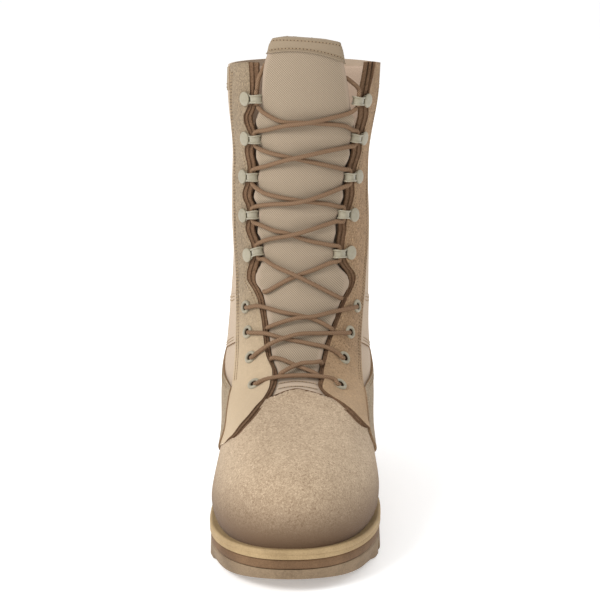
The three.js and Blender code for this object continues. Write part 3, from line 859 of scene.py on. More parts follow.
def cloth(name, yarns, dark, light, roughness, bump, turn=0.0, spread=(0.1, 1.0), specular=0.25, **extra):
    return finish_material(
        name, WEAVE, {"Yarns": yarns, "Turn": turn}, dark, light, roughness, bump, source="UV",
        spread=spread, specular_ior_level=specular, **extra)


def moulded(name, grain, dark, light, roughness, bump, specular=0.3):
    return finish_material(
        name, GRAIN, {"Grain": grain}, dark, light, roughness, bump, specular_ior_level=specular)


BIAS = 0.785  # a weave laid across the piece at an eighth of a turn
SUEDE = suede("suede", (126, 102, 77), (214, 191, 162), LOW_SHADE, 120.0, 900.0, (0.7, 0.5), (0.38, 0.8))
SUEDE_FACING = suede("suede_facing", (72, 57, 39), (186, 165, 136), LOW_SHADE)
SUEDE_QUARTER = suede("suede_quarter", (66, 52, 35), (174, 153, 125), LOW_FACING)
SUEDE_WARM = suede("suede_warm", (68, 48, 29), (184, 151, 115), LOW_WARM)
RAW_EDGE = napped("raw_edge", 300.0, 1100.0, (62, 44, 32), (130, 102, 78), (0.8, 0.5))
PANEL_EDGE = napped("panel_edge", 300.0, 1100.0, (104, 80, 58), (164, 138, 110), (0.8, 0.5))
NYLON = cloth(
    "nylon_weave", 430.0, (88, 73, 58), (172, 155, 133), (0.75, 0.95), (0.35, 0.2), BIAS, (0.0, 1.0),
    plain=(160, 142, 123))
NYLON_FINE = cloth("nylon_fine", 900.0, (158, 138, 118), (196, 177, 156), (0.7, 0.9), (0.35, 0.2))
NYLON_BINDING = cloth("nylon_binding", 1100.0, (130, 113, 92), (158, 141, 119), (0.75, 0.95), (0.3, 0.2))
LINING = cloth(
    "lining", 1200.0, (150, 128, 110), (192, 170, 150), (0.8, 0.95), (0.3, 0.15), BIAS, specular=0.2)
LEDGE_RUBBER = moulded("ledge_rubber", 1100.0, (148, 124, 88), (188, 162, 122), (0.55, 0.75), (0.25, 0.2))
WEDGE_RUBBER = moulded("wedge_rubber", 1400.0, (90, 65, 42), (136, 106, 76), (0.6, 0.8), (0.3, 0.25))
TREAD_RUBBER = moulded("tread_rubber", 1100.0, (112, 93, 71), (160, 138, 111), (0.6, 0.8), (0.25, 0.2))
ENAMEL = moulded("enamel", 500.0, (140, 132, 112), (164, 156, 135), (0.3, 0.46), (0.12, 0.1), 0.5)
CORD = cloth("cord", 520.0, (72, 53, 39), (148, 119, 93), (0.8, 0.95), (0.4, 0.3), BIAS, specular=0.15)
THREAD = finish_material(
    "thread", NAP, {"Patches": 400.0, "Fibres": 2500.0}, (140, 116, 88), (176, 154, 124),
    (0.8, 0.95), (0.3, 0.2), specular_ior_level=0.3)
# Painted shade: the dark inside a needle hole.
HOLE_SHADE = napped("needle_hole_shade", 400.0, 2500.0, (66, 48, 34), (100, 78, 58))
SHADE = napped("shade", 400.0, 1500.0, (30, 22, 16), (56, 42, 32), specular=0.0)


# The camera looks level along +Y and tips down at the boot.
CAMERA = {"x": 0.4, "y": -1117, "z": 403, "tip": 12.93, "lens": 102.9}


def add_camera():
    data = bpy.data.cameras.new("camera")
    data.lens = CAMERA["lens"]
    data.sensor_width = 36
    data.clip_start = 0.05
    camera = bpy.data.objects.new("camera", data)
    bpy.context.collection.objects.link(camera)
    camera.location = Vector((CAMERA["x"], CAMERA["y"], CAMERA["z"])) * MM
    camera.rotation_euler = (math.radians(90 - CAMERA["tip"]), 0, 0)
    bpy.context.scene.camera = camera


add_camera()

# Lacing. Each crossing lists the strand from either high side as (x, z) places, from its high end
# down, and how its strands end: under the facing's edge, over it to an eyelet, or in a hook.
CORD_RADIUS = 1.45
CORD_STEP = 0.8
CORD_SIDES = 14
BRAID = 0.035
ON_TONGUE = 2.6
OVER = 2 * CORD_RADIUS - 0.3
CROSSINGS = (
    {"at": 1.5, "top": LATERAL, "high": "under", "low": "under",
     LATERAL: ((13, 107), (9, 106.5), (0.5, 106), (-10.5, 101.5)),
     MEDIAL: ((-17.5, 109.5), (-12, 109.5), (-3, 106.5), (10.5, 101.5))},
    {"at": -9.5, "top": LATERAL, "high": "over", "low": "over",
     LATERAL: ((27.5, 123), (13.5, 124.5), (0.5, 124), (-8, 121.5), (-16.5, 117.5), (-26, 111.5)),
     MEDIAL: ((-27.5, 123), (-20.5, 123.5), (-12, 122), (9, 118), (17.5, 115.5), (24.5, 111))},
    {"at": -3.5, "top": LATERAL, "high": "over", "low": "under",
     LATERAL: ((31, 137.5), (19.5, 137), (9, 135), (-3, 133.5), (-19.5, 127.5)),
     MEDIAL: ((-26, 140), (-12, 138), (-3, 136.5), (9, 133.5), (20.5, 126.5))},
    {"at": -2, "top": MEDIAL, "high": "hook", "low": "under",
     LATERAL: ((19.5, 169.5), (9, 165.5), (0.5, 162.5), (-8, 158.5), (-21, 150)),
     MEDIAL: ((-22.5, 171.5), (-16, 168), (-2.5, 162), (13, 153.5), (26, 145.5))},
    {"at": -4.5, "top": LATERAL, "high": "hook", "low": "hook",
     LATERAL: ((23, 197), (4.5, 192), (-5.5, 189), (-20, 185)),
     MEDIAL: ((-25, 194.5), (-16, 191.5), (-7.5, 190), (5, 185.5), (19.5, 181.5))},
    {"at": -1.5, "top": LATERAL, "high": "hook", "low": "hook",
     LATERAL: ((27.5, 219.5), (11.5, 214.5), (-2, 211), (-20.5, 208.5)),
     MEDIAL: ((-24, 217), (-17, 215), (-2, 212.5), (18.5, 209), (25.5, 206.5))},
    {"at": 0.5, "top": LATERAL, "high": "hook", "low": "hook",
     LATERAL: ((30, 246.5), (18, 245), (4.5, 242.5), (-9, 239), (-20.5, 234.5)),
     MEDIAL: ((-20.5, 244), (-9, 241.5), (1, 239.5), (18, 235), (28.5, 231.5))},
    {"at": 0.5, "top": LATERAL, "high": "hook", "low": "hook",
     LATERAL: ((32, 269.5), (18.5, 266.5), (4.5, 264), (-9, 262), (-20.5, 258.5)),
     MEDIAL: ((-22.5, 270), (-11, 264.5), (0.5, 264), (11.5, 263.5), (28.5, 261), (34, 257.5))},
)
BAR = ((0.5, 101), (12.5, 100), (22, 97.6))  # the lowest strand, from its middle outwards
HOOK_EXIT = {"across": 11.4, "along": 4.5, "out": 1.0}
CORD_ENDS = {
    MEDIAL: ((-27.4, 284, 1.2), (-27, 291, 0.2), (-25, 299, -2.6), (-21.5, 306, -6.0),
             (-17, 309.5, -12.0)),
    LATERAL: ((39, 284.5, 0.6), (36, 289, -1.6), (32, 293, -5.0), (26, 296, -12.0)),
}


def in_hook(side, index, goes):
    """Where the cord is in a hook: at its top, its middle or its bottom."""
    along = goes * HOOK_EXIT["along"]
    return hook_seat(side, index) @ Vector((HOOK_EXIT["across"], along, HOOK_EXIT["out"]))


def strand(index, high_side):
    """A crossing's strand from its high end to its low end."""
    row = CROSSINGS[index]
    route = []
    if row["high"] == "hook":
        route.append(in_hook(high_side, index - 3, -1))
    for x, z in row[high_side]:
        rise = OVER * smooth(1.6 - abs(x - row["at"]) / 12) if high_side == row["top"] else 0
        route.append(surface(x, z, ON_TONGUE + rise)[0])
    if row["low"] == "hook":
        route.append(in_hook(-high_side, index - 4, 1))
    return route


def through_eyelet(side, index, outside_first, under_z):
    """Points through an eyelet between the facing's outside and the throat below its edge."""
    place = seat(side, *EYELETS[index], 0)
    outside = [place @ Vector((-side * 3.6, 0, 3.0)), place @ Vector((-side * 0.9, 0, 1.2))]
    inside = [place @ Vector((0.2 * side, 0, -2.6)), place @ Vector((-side * 3.0, 0, -5.4))]
    hidden = surface(facing_x(side, under_z, 1) + side * 2.0, under_z, -5.8)[0]
    route = [*outside, *inside, hidden]
    return route if outside_first else route[::-1]


def cord_end(side):
    """A free end: up through the highest hook, then round the tongue's edge to behind it."""
    route = [in_hook(side, 4, goes) for goes in (-1, 0, 1)]
    return [*route, *(surface(x, z, lift)[0] for x, z, lift in CORD_ENDS[side])]


def half_lace(start_side):
    """The lace from the bar's middle up to a highest hook. It changes sides at each crossing."""
    mirrored = 1 if start_side == LATERAL else -1
    route = [surface(x if i == 0 else mirrored * x, z, ON_TONGUE)[0] for i, (x, z) in enumerate(BAR)]
    route += through_eyelet(start_side, 0, True, 102)
    side = start_side
    for i, row in enumerate(CROSSINGS):
        route += strand(i, -side)[::-1]
        side = -side
        if i == 0:
            route += through_eyelet(side, 1, False, row[side][0][1])
        elif i < 3:
            route += through_eyelet(side, i + 1, True, CROSSINGS[i + 1][-side][-1][1])
        elif i < len(CROSSINGS) - 1:
            route.append(in_hook(side, i - 3, 0))
    return route


def add_lace():
    medial_first = half_lace(MEDIAL)
    lateral_first = half_lace(LATERAL)
    route = [*lateral_first[::-1], *medial_first[1:]]
    clean = [route[0]]
    for point in route[1:]:
        if (point - clean[-1]).length > CORD_STEP:
            clean.append(point)
    lace, _ = sweep("lace", clean, CORD_RADIUS, CORD_STEP, CORD_SIDES, BRAID)
    coat(lace, CORD)
    crossings = [f"lace_crossing_{i + 1}" for i in range(len(CROSSINGS))]
    publish(lace, "lace_cord", "lace_bar", *crossings)
    for side, word in SIDES:
        end, centres = sweep(f"cord_{word}", cord_end(side), CORD_RADIUS, CORD_STEP, CORD_SIDES, BRAID)
        coat(end, CORD)
        publish(end, "lace_cord", f"lace_end_{word}")
        path = [c * MM for c in centres]
        tuple(path[0])
        round(distances(path)[-1], 3)
        [tuple(p) for p in path]


add_lace()

# The upper's panels. Edges are (y, z) places in the side view.
QUARTER_FRONT = {
    MEDIAL: ((4, 24), (-8, 36), (-24, 48), (-42, 57.5), (-54, 62.5), (-60.3, 65.4), (-65.3, 68.8),
             (-69.6, 71.8), (-71.8, 74.6), (-69.3, 78.7), (-64.2, 82.5), (-55.4, 86.5),
             (-46.5, 90.4), (-37, 94.7), (-29, 99.2)),
    LATERAL: ((14, 25), (6, 38), (-6, 51.5), (-18, 60), (-30.3, 65.8), (-40, 69.2), (-47.7, 72),
              (-53, 74.8), (-56, 77.4), (-56, 80.2), (-54.2, 82.7), (-51.4, 85.6),
              (-47.7, 88.6), (-44.2, 91.3), (-38.5, 94.6), (-29.2, 99.3)),
}
QUARTER_LOW_REAR = ((46, 30), (38, 52), (20, 74), (-3, 86), (-13, 89))
FACING_REAR_LOW = ((-13, 89), (-1, 94.8), (9, 102.6), (19.5, 114), (31, 132), (40, 151.6))
FACING_REAR = {
    MEDIAL: (*FACING_REAR_LOW, (46.5, 171), (48.5, 195), (50.5, 219), (52, 246), (51, 275), (49, 297.5)),
    LATERAL: (*FACING_REAR_LOW, (46.5, 171), (49.5, 195), (53.5, 219), (56.5, 246), (58, 275),
              (58, 297.5)),
}
WING_TOP = ((-13, 89), (4, 89.8), (22, 90), (50, 93), (84, 99), (112, 108), (137.4, 121))
BAND_TOP = ((30, 144.5), (40, 142), (60, 137), (100, 127), (137, 118))
BAND_LOW = ((14, 115), (24, 110.5), (38, 105), (70, 96), (137, 84))
THROAT_BASE = 99.2
COLLAR_FRONT = 300.5
SPLIT = 0.38  # the share of the quarter's front edge that runs up the vamp


def throat_edge(side, share=0.0, top=COLLAR_FRONT):
    heights = [THROAT_BASE, 104]
    while heights[-1] < top - 4:
        heights.append(heights[-1] + 3.2)
    heights.append(top)
    return through([front_spot(facing_x(side, z, share), z) for z in heights])


def to_collar(level):
    """Carries a facing's top edge up a little past the chart."""
    return level + 0.1 * smooth((level - 22.4) / 0.6)


def lap(u, v, z):
    """How far the quarter's front rides up over the vamp and the layers below it."""
    return 1.5 * (1 - smooth(u / 0.3)) * (1 - 0.75 * smooth((v - SPLIT + 0.03) / 0.12)) * raised(z)


def top_curl(v):
    """The share of the curl at the top of the outer facing."""
    return smooth((v - 0.93) / 0.07)


def raised(z):
    """The share of its full height that the quarter's front edge has reached, by height."""
    return smooth((z - 62) / 17)


def wavy(size, scale, seed):
    """Slight unevenness of a hand-lasted panel, the same on every run."""

    def at(point):
        return size * noise.noise(point * scale + Vector((seed, 0, 0)))

    return at


VAMP_RIM = ((-17.5, 91.6), (-15, 92.4), (-8.5, 94.3), (-2, 95.3), (6, 94.3), (12.5, 92.8), (15.5, 92.0))


def add_vamp():
    reach = abs(spot(LATERAL, 30, 40).y)
    tops = [spot(MEDIAL, 30, 52), spot(MEDIAL, -8, 68), spot(MEDIAL, -34, 80), front_spot(-24, 89.8)]
    tops += [front_spot(-15, 92.4), front_spot(-8.5, 94.3)]
    tops.append(Vector((spot(LATERAL, -40.3, 95.4).x, 0)))
    tops += [front_spot(6, 94.3), front_spot(12.5, 92.8), front_spot(22, 90.3)]
    tops += [spot(LATERAL, -30, 80), spot(LATERAL, -4, 68), spot(LATERAL, 30, 52)]
    top = through(tops)

    def bottom(share):
        return Vector((-0.5, mix(-reach, reach, share)))

    def edge(share):
        around = mix(-reach, reach, share)
        shares = [i / 200 for i in range(201)]
        found = min(shares, key=lambda s: abs(top(s).y - around))
        return Vector((top(found).x, around))

    dip = wavy(0.35, 0.035, 3)
    edge_once = remembered(edge)

    def place(u, v):
        level, around = bottom(v).lerp(edge_once(v), u)
        point = on_form(level, around)
        return on_form(level, around, dip(point) + 0.25 + 0.7 * smooth((u - 0.94) / 0.06))

    piece = grid_piece("vamp", 64, 176, place)
    face_along(piece, Z_AXIS)
    make_up(piece, "suede", (SUEDE, RAW_EDGE), thick=1.9)
    # A dark bead along the vamp's top edge: partly its raw edge, partly painted shade for the dark line
    # below the tongue's root.
    rim = [surface(x, z + 0.3, 0.5)[0] for x, z in VAMP_RIM]
    bead, _ = sweep("vamp_edge_and_shade", rim, 0.5, 0.8, 10)
    coat(bead, RAW_EDGE)
    publish(bead, "suede")


def quarter_edges(side):
    """The quarter's front and rear edges, from the sole to the collar."""
    front = side_edge(side, QUARTER_FRONT[side])
    throat = throat_edge(side)
    low = side_edge(side, QUARTER_LOW_REAR)
    rear = side_edge(side, FACING_REAR[side])
    near = joined([(SPLIT, inset_line(front, low, 1.2)), (1.0, throat)])
    far = joined([(SPLIT, low), (1.0, rear)])
    return near, far, front, throat, rear, low


def add_quarter(side, word):
    near, far, *_ = quarter_edges(side)
    edges = remembered(lambda v: (near(v), far(v), on_form(*near(v)).z))
    dip = wavy(0.4, 0.045, 11 + side)

    def place(u, v):
        a, b, z = edges(v)
        level, around = a.lerp(b, u)
        point = on_form(level, around)
        base = mix(0.6, 1.2, max(raised(z), u))
        curl = 0.0
        if side == LATERAL:
            curl = 3.2 * top_curl(v) * (1 - smooth(u / 0.35)) ** 2
        return on_form(to_collar(level), around, base + dip(point) + lap(u, v, z) + curl)

    piece = grid_piece(f"quarter_{word}", 30, 200, place, sized_uv(0.04, 0.3))
    turn_out(piece, side)
    suede = SUEDE_QUARTER if side == MEDIAL else SUEDE_WARM
    replaced = ["upper"] if side == MEDIAL else []
    make_up(piece, "suede", (suede, RAW_EDGE), *replaced, thick=1.9)


def turn_out(piece, side):
    """Faces of a side panel point away from the boot's middle."""
    total = sum(p.normal.x * p.area for p in piece.data.polygons)
    if total * side < 0:
        flip(piece)


def add_facing_layers(side, word):
    """The brown layers below the quarter, whose raw edges show past the suede's."""
    near, far, front, _, _, low = quarter_edges(side)
    layers = (("middle", 0.45, -0.6, 0.3, 1.1), ("inner", 1.0, -2.3, -0.7, 1.5))
    for name, share, out, lift, thickness in layers:
        throat = throat_edge(side, share)
        beside = inset_line(front, low, out)
        below = inset_line(front, low, 3.0)

        def front_part(along, beside=beside, below=below, throat=throat):
            shown = raised(on_form(*front(along)).z)
            place = below(along).lerp(beside(along), shown)
            return place.lerp(throat(0), smooth((along - 0.86) / 0.14))

        edge = joined([(SPLIT, front_part), (1.0, throat)])
        inner = inset_line(near, far, 7.0)

        def rise(u, v, share=share):
            curl = 2.6 * top_curl(v) * (1 - u) if side == LATERAL else 0
            z = on_form(*front(min(v / SPLIT, 1))).z
            return lap(0, v, z) * (1 - 0.1 * share) * (1 - u * u) + curl

        piece = ladder(f"facing_{name}_{word}", edge, inner, 8, 200, lift, rise)
        turn_out(piece, side)
        make_up(piece, "suede", (RAW_EDGE,), thick=thickness)


def add_nylon_side(side, word):
    front = side_edge(side, [(y - 7, min(z, 295.5)) for y, z in FACING_REAR[side]])
    back = through([Vector((spot(side, back_y(z), z).x, side)) for z in (84, 110, 150, 200, 250, 293.5)])

    def puff(u, v):
        low = 1.3 * hump(v, 0.06, 0.1)
        ankle = 1.5 * hump(v, 0.36, 0.2)
        return math.sin(math.pi * clamp(u, 0, 1)) ** 0.6 * (low + ankle + 0.4)

    piece = ladder(f"side_cloth_{word}", front, back, 44, 90, -0.6, puff)
    turn_out(piece, side)
    make_up(piece, "nylon", (NYLON_FINE,), thick=1.2, bevel=0)


def add_ankle_band(side, word):
    low = side_edge(side, BAND_LOW)
    top = side_edge(side, BAND_TOP)
    piece = ladder(f"ankle_band_{word}", low, top, 16, 60, 1.0)
    turn_out(piece, side)
    make_up(piece, "nylon", (NYLON_FINE, PANEL_EDGE), thick=1.4, bevel=0.3)


def round_back(side, places):
    """Chart places that pass over the back seam without a jump."""
    if side == LATERAL:
        return places
    return [Vector((p.x, 2 + p.y)) for p in reversed(places)]


def add_wing():
    """The heel counter and its wings, in one piece round the back."""
    top = [spot(LATERAL, y, z) for y, z in WING_TOP]
    top_line = through([*top, *round_back(MEDIAL, [spot(MEDIAL, y, z) for y, z in WING_TOP])[1:]])
    start = spot(LATERAL, 30, 34).y
    end = 2 + spot(MEDIAL, 30, 34).y

    def bottom_line(share):
        return Vector((-0.4, mix(start, end, share)))

    piece = ladder("heel_counter", bottom_line, top_line, 30, 150, 2.1)
    face_along(piece, Y_AXIS)
    make_up(piece, "suede", (SUEDE_FACING, PANEL_EDGE), thick=1.8)
    return bottom_line, top_line


BACKSTAY_HALF = 0.058  # half its width, as a share of the way round the form's side


def add_backstay():
    levels = [spot(LATERAL, back_y(z), z).x for z in (112, 140, 180, 230, 293)]
    near = through([Vector((level, 1 - BACKSTAY_HALF)) for level in levels])
    far = through([Vector((level, 1 + BACKSTAY_HALF)) for level in levels])
    piece = ladder("backstay", near, far, 12, 70, 1.3)
    face_along(piece, Y_AXIS)
    make_up(piece, "suede", (SUEDE_FACING, PANEL_EDGE), thick=1.4)
    return near, far


LINING_ROWS = ((22.4, -0.9), (22.7, -0.5), (22.86, -1.0), (22.92, -2.4), (22.82, -4.4), (22.5, -6.2),
               (21.9, -7.2), (21.0, -7.0), (20.2, -5.4), (19.6, -3.6), (18.6, -3.0), (16, -3.0),
               (13, -3.0), (10, -3.0), (7, -3.0), (4, -3.0), (1, -3.0))


def collar_dip(share):
    """How far the collar's rim falls towards the back, in levels."""
    return 0.05 + 0.15 * math.sin(math.pi * clamp(share, 0, 1)) ** 0.7


def add_collar():
    """The padded collar and the lining below it, from facing to facing round the back."""
    profile = through([Vector(row) for row in LINING_ROWS])

    def place(u, v):
        level, lift = profile(v)
        level -= collar_dip(u)
        z = level_heights(min(level, TOP_RING))[0]
        inner = max(z, THROAT_BASE)
        lateral = front_spot(facing_x(LATERAL, inner) + 3, inner).y
        medial = 2 + front_spot(facing_x(MEDIAL, inner) - 3, inner).y
        around = mix(lateral, medial, u)
        return on_form(level, around, lift)

    piece = grid_piece("collar_lining", 96, 90, place, sized_uv(0.3, 0.36))
    face_along(piece, Z_AXIS)
    make_up(piece, "nylon", (LINING,), thick=0.9, bevel=0, angle=60)


COLLAR_BAND = {"top": 22.86, "low": 22.12}  # levels in the chart


def add_collar_band():
    """The suede band sewn round the collar from facing to facing."""
    front = spot(LATERAL, 56, 290).y
    end = 2 + spot(MEDIAL, 56, 290).y

    def top(share):
        return Vector((COLLAR_BAND["top"] - collar_dip(share), mix(front, end, share)))

    def bottom(share):
        return Vector((COLLAR_BAND["low"] - collar_dip(share), mix(front, end, share)))

    piece = ladder("collar_band", bottom, top, 12, 120, 0.3)
    face_along(piece, Y_AXIS)
    make_up(piece, "suede", (SUEDE_FACING, PANEL_EDGE), thick=1.3)
    return bottom, top


def add_insole():
    def place(u, v):
        y = mix(TOE_Y + LEDGE + 4.6, HEEL_Y - LEDGE - 4.6, (1 - math.cos(math.pi * v)) / 2)
        across = 2 * u - 1
        side = MEDIAL if across < 0 else LATERAL
        half = plan_half(side, y, LEDGE + 4.2)
        cup = 1.2 * abs(across) ** 4
        return Vector((middle_x(y) + across * half, y, feather_z(y) + 3.6 + cup))

    piece = grid_piece("sock_liner", 24, 80, place, sized_uv(0.1, 0.3))
    make_up(piece, "insole_foam", (LINING,), "insole", thick=3.2, bevel=0.6)


# Sole.
WELT_THICK = 5.5
GAP = 0.3


OUTLINE_STEPS = 96
# Places round the sole, as a side and a step, from the toe by the outer side and home.
OUTLINE = [(LATERAL, j) for j in range(OUTLINE_STEPS)]
OUTLINE += [(MEDIAL, OUTLINE_STEPS - j) for j in range(OUTLINE_STEPS + 1)]


def around_sole(name, rows, slot, rubber, node):
    """A closed ring round the sole. Each row is an inset, a line of heights and a lift from it."""
    rows = [*rows, rows[0]]

    def place(u, v):
        side, step = OUTLINE[round(u * 2 * OUTLINE_STEPS)]
        inset, line, lift = rows[round(v * (len(rows) - 1))]
        s = (1 - math.cos(math.pi * step / OUTLINE_STEPS)) / 2
        y = mix(TOE_Y + inset, HEEL_Y - inset, s)
        return Vector((middle_x(y) + side * plan_half(side, y, inset), y, line(y) + lift))

    piece = grid_piece(name, 2 * OUTLINE_STEPS, len(rows) - 1, place, closed=True)
    make_up(piece, slot, (rubber,), node, angle=50)


def wedge_z(y):
    return column(SOLE, "y", "wedge", y)


def welt_top(y):
    return feather_z(y) - GAP


def welt_bottom(y):
    return welt_top(y) - WELT_THICK


# The ledge that the upper stands in: a flat top, a rolled rim and a side with one fine groove.
LEDGE_ROWS = (
    (LEDGE + 7, welt_top, -0.6), (LEDGE + 1, welt_top, 0), (3.4, welt_top, 0.1), (2.5, welt_top, 0.35),
    (1.6, welt_top, 0.6), (0.8, welt_top, 0.5), (0.25, welt_top, 0), (0, welt_top, -0.7),
    (0, welt_top, -2.2), (0.25, welt_top, -2.5), (0.1, welt_top, -2.8), (0.05, welt_bottom, 0.25),
    (0.5, welt_bottom, 0), (LEDGE + 7, welt_bottom, 0),
)
WEDGE_ROWS = (
    (30, welt_bottom, -0.05), (1.6, welt_bottom, -0.05), (1.0, welt_bottom, -0.5),
    (0.7, welt_bottom, -1.4), (0.7, wedge_z, 1.4), (1.0, wedge_z, 0.5), (1.6, wedge_z, 0.05),
    (30, wedge_z, 0.05),
)
RIPPLE = {"first": 58, "pitch": 16, "tip": 6.5, "depth": 8.5, "lean": 2.5, "groove": 3.2,
          "flare": 1.3}


def tread_z(y):
    return max(0.0, column(SOLE, "y", "tread", y))


def ripple_line():
    """The tread in the side view: slanted teeth with flat tips and round-bottomed grooves."""
    points = []
    y = TOE_Y
    first = TOE_Y + RIPPLE["first"]
    while y < first - 1:
        points.append((y, tread_z(y)))
        y += 2.5
    tip = first
    while tip < HEEL_Y + 1:
        end = tip + RIPPLE["tip"]
        valley = end + (RIPPLE["pitch"] - RIPPLE["tip"]) / 2 - RIPPLE["lean"]
        depth = min(RIPPLE["depth"], wedge_z(valley) - tread_z(valley) - 3.5)
        roof = tread_z(valley) + depth
        half = RIPPLE["groove"] / 2
        points += [(tip, tread_z(tip)), (tip + 3.2, tread_z(tip + 3.2)), (end - 0.5, tread_z(end))]
        points += [(end, tread_z(end) + 0.5), (valley - half, roof - 1.6)]
        points += [(valley - half * 0.6, roof - 0.5), (valley, roof), (valley + half * 0.6, roof - 0.5)]
        points += [(valley + half, roof - 1.6)]
        after = tip + RIPPLE["pitch"]
        points.append((mix(valley + half, after, 0.5), mix(roof - 1.6, tread_z(after), 0.5)))
        points.append((after - 0.5, tread_z(after) + 0.5))
        tip = after
    points = [p for p in points if p[0] < HEEL_Y - 0.05]
    points.append((HEEL_Y - 0.02, tread_z(HEEL_Y)))
    return points


def add_outsole():
    """Cross-sections along the sole, from the wedge's line down to the ripples."""
    line = ripple_line()
    extra = [TOE_Y + 0.6 + step for step in (0.02, 0.2, 0.6, 1.2, 2.0, 3.0)]
    extra += [HEEL_Y - 0.62 - step for step in (0.0, 0.2, 0.6, 1.2, 2.0, 3.0)]
    stations = sorted({round(p[0], 3) for p in line} | {round(y, 3) for y in extra})
    stations = [y for y in stations if TOE_Y + 0.61 < y < HEEL_Y - 0.61]

    def low_at(y):
        for (ya, za), (yb, zb) in zip(line, line[1:]):
            if ya <= y <= yb:
                return mix(za, zb, (y - ya) / (yb - ya)) if yb > ya else za
        return line[-1][1]

    ring = [(-0.985, 1.0), (-1.0, 0.9), (-1.0, 0.5), (-1.0, 0.12), (-0.985, 0.0), (-0.6, 0.0), (-0.2, 0.0),
            (0.2, 0.0), (0.6, 0.0), (0.985, 0.0), (1.0, 0.12), (1.0, 0.5), (1.0, 0.9), (0.985, 1.0),
            (0.4, 1.0), (-0.4, 1.0)]
    ring.append(ring[0])

    def place(u, v):
        y = stations[round(v * (len(stations) - 1))]
        across, share = ring[round(u * (len(ring) - 1))]
        side = MEDIAL if across < 0 else LATERAL
        slope = 0.7 + 2.4 * smooth((-84 - y) / 22)
        low = low_at(y)
        tip = 1 if y > TOE_Y + RIPPLE["first"] - 0.1 and low < tread_z(y) + 0.4 else 0
        slope -= RIPPLE["flare"] * tip
        half = max(plan_half(side, y, 0.6) - slope * (1 - share) ** 1.3, 0.0)
        return Vector((middle_x(y) + across * half, y, mix(low, wedge_z(y), share)))

    piece = grid_piece("rippled_sole", len(ring) - 1, len(stations) - 1, place, closed=True)
    select_only(piece)
    bpy.ops.object.mode_set(mode="EDIT")
    bpy.ops.mesh.select_all(action="DESELECT")
    bpy.ops.mesh.select_non_manifold()
    bpy.ops.mesh.fill()
    bpy.ops.mesh.select_all(action="SELECT")
    bpy.ops.mesh.normals_make_consistent(inside=False)
    bpy.ops.object.mode_set(mode="OBJECT")
    make_up(piece, "outsole_rubber", (TREAD_RUBBER,), "outsole", angle=35)


# Tongue: a pad that swells between the crossings of the lace.
TONGUE = {"low": 90, "top": 318.5, "thick": 5, "crowd": 1.25}
TONGUE_FREE = 284  # from here up it stands clear of the facings
TONGUE_SHAPE = {
    "z": (90, 130, 175, 245, 262, 275, 290, 303, 311, 320),
    "half": (20, 34, 40, 40, 37.6, 33.4, 31.6, 29.2, 26.8, 25.8),
    "middle": (-1.5, 0.4, -0.5, 3.2, 4.0, 4.0, 3.4, 3.2, 4.0, 4.8),
}


def tongue_half(z):
    return column(TONGUE_SHAPE, "z", "half", z)


def tongue_x(s, z):
    return column(TONGUE_SHAPE, "z", "middle", z) + s * tongue_half(z)


def tongue_drop(s):
    """How far the tongue's top edge falls from its middle towards its corners."""
    return 4.5 * s**8 + s * s + 1.8 * s


def binding_drop(s):
    return 8.1 + 6.0 * s * s + 3.4 * s


def strands_seen():
    """The strands in the front view, as short straight runs."""
    runs = []
    for i in range(len(CROSSINGS)):
        for side in (MEDIAL, LATERAL):
            points = [(p.x, p.z) for p in strand(i, side)]
            runs += list(zip(points, points[1:]))
    bar = [(-x, z) for x, z in reversed(BAR[1:])] + list(BAR)
    runs += list(zip(bar, bar[1:]))
    return runs


STRANDS = strands_seen()


def strand_distance(x, z):
    nearest = 100.0
    for (ax, az), (bx, bz) in STRANDS:
        dx = bx - ax
        dz = bz - az
        t = clamp(((x - ax) * dx + (z - az) * dz) / (dx * dx + dz * dz), 0, 1)
        nearest = min(nearest, math.hypot(x - ax - t * dx, z - az - t * dz))
    return nearest


def tongue_lift(x, z, s):
    """How far the tongue's face stands from the form: pressed down by the lace and swelling."""
    distance = strand_distance(x, z)
    swell = 1 - math.exp(-((distance / 7.5) ** 2))
    open_low = smooth((z - 98) / 6)
    face = mix(-3.0, mix(0.9, 3.2, swell), open_low)
    above = smooth((z - 272) / 20)
    face = mix(face, 1.6 + 1.2 * math.cos(s * 1.5), above)
    high = smooth((z - 140) / 40)
    tucked = 1 - smooth((throat_gap(x, z) - mix(-1.2, 0.4, high)) / mix(2.2, 2.6, high))
    face = mix(face, -7.0, tucked * (1 - smooth((z - TONGUE_FREE) / 12)))
    crown = 1 - smooth((abs(s) - 0.84) / 0.16)
    return mix(-5.4, face, crown)


def tongue_place(s, t, inner):
    z = mix(TONGUE["low"], TONGUE["top"], t) - tongue_drop(s) * smooth((t - 0.7) / 0.3)
    x = tongue_x(s, z)
    face = tongue_lift(x, z, s)
    ends = smooth(t / 0.03) * smooth((1 - t) / 0.012)
    thick = TONGUE["thick"] * math.sqrt(max(0.0, 1 - abs(s) ** 6)) * ends
    back = -7.6 - thick * 0.5
    lift = back if inner else max(face, back + thick)
    lift = mix(-5.2, lift, ends) if inner else mix(-4.0, lift, ends)
    return surface(x, z, lift)[0]


TONGUE_ACROSS = 44
TONGUE_ROWS = 170


def round_tongue(u, v):
    """Across the tongue, up it, and whether the place is on its back."""
    inner = u > 0.5
    return (3 - 4 * u) if inner else (4 * u - 1), v ** TONGUE["crowd"], inner


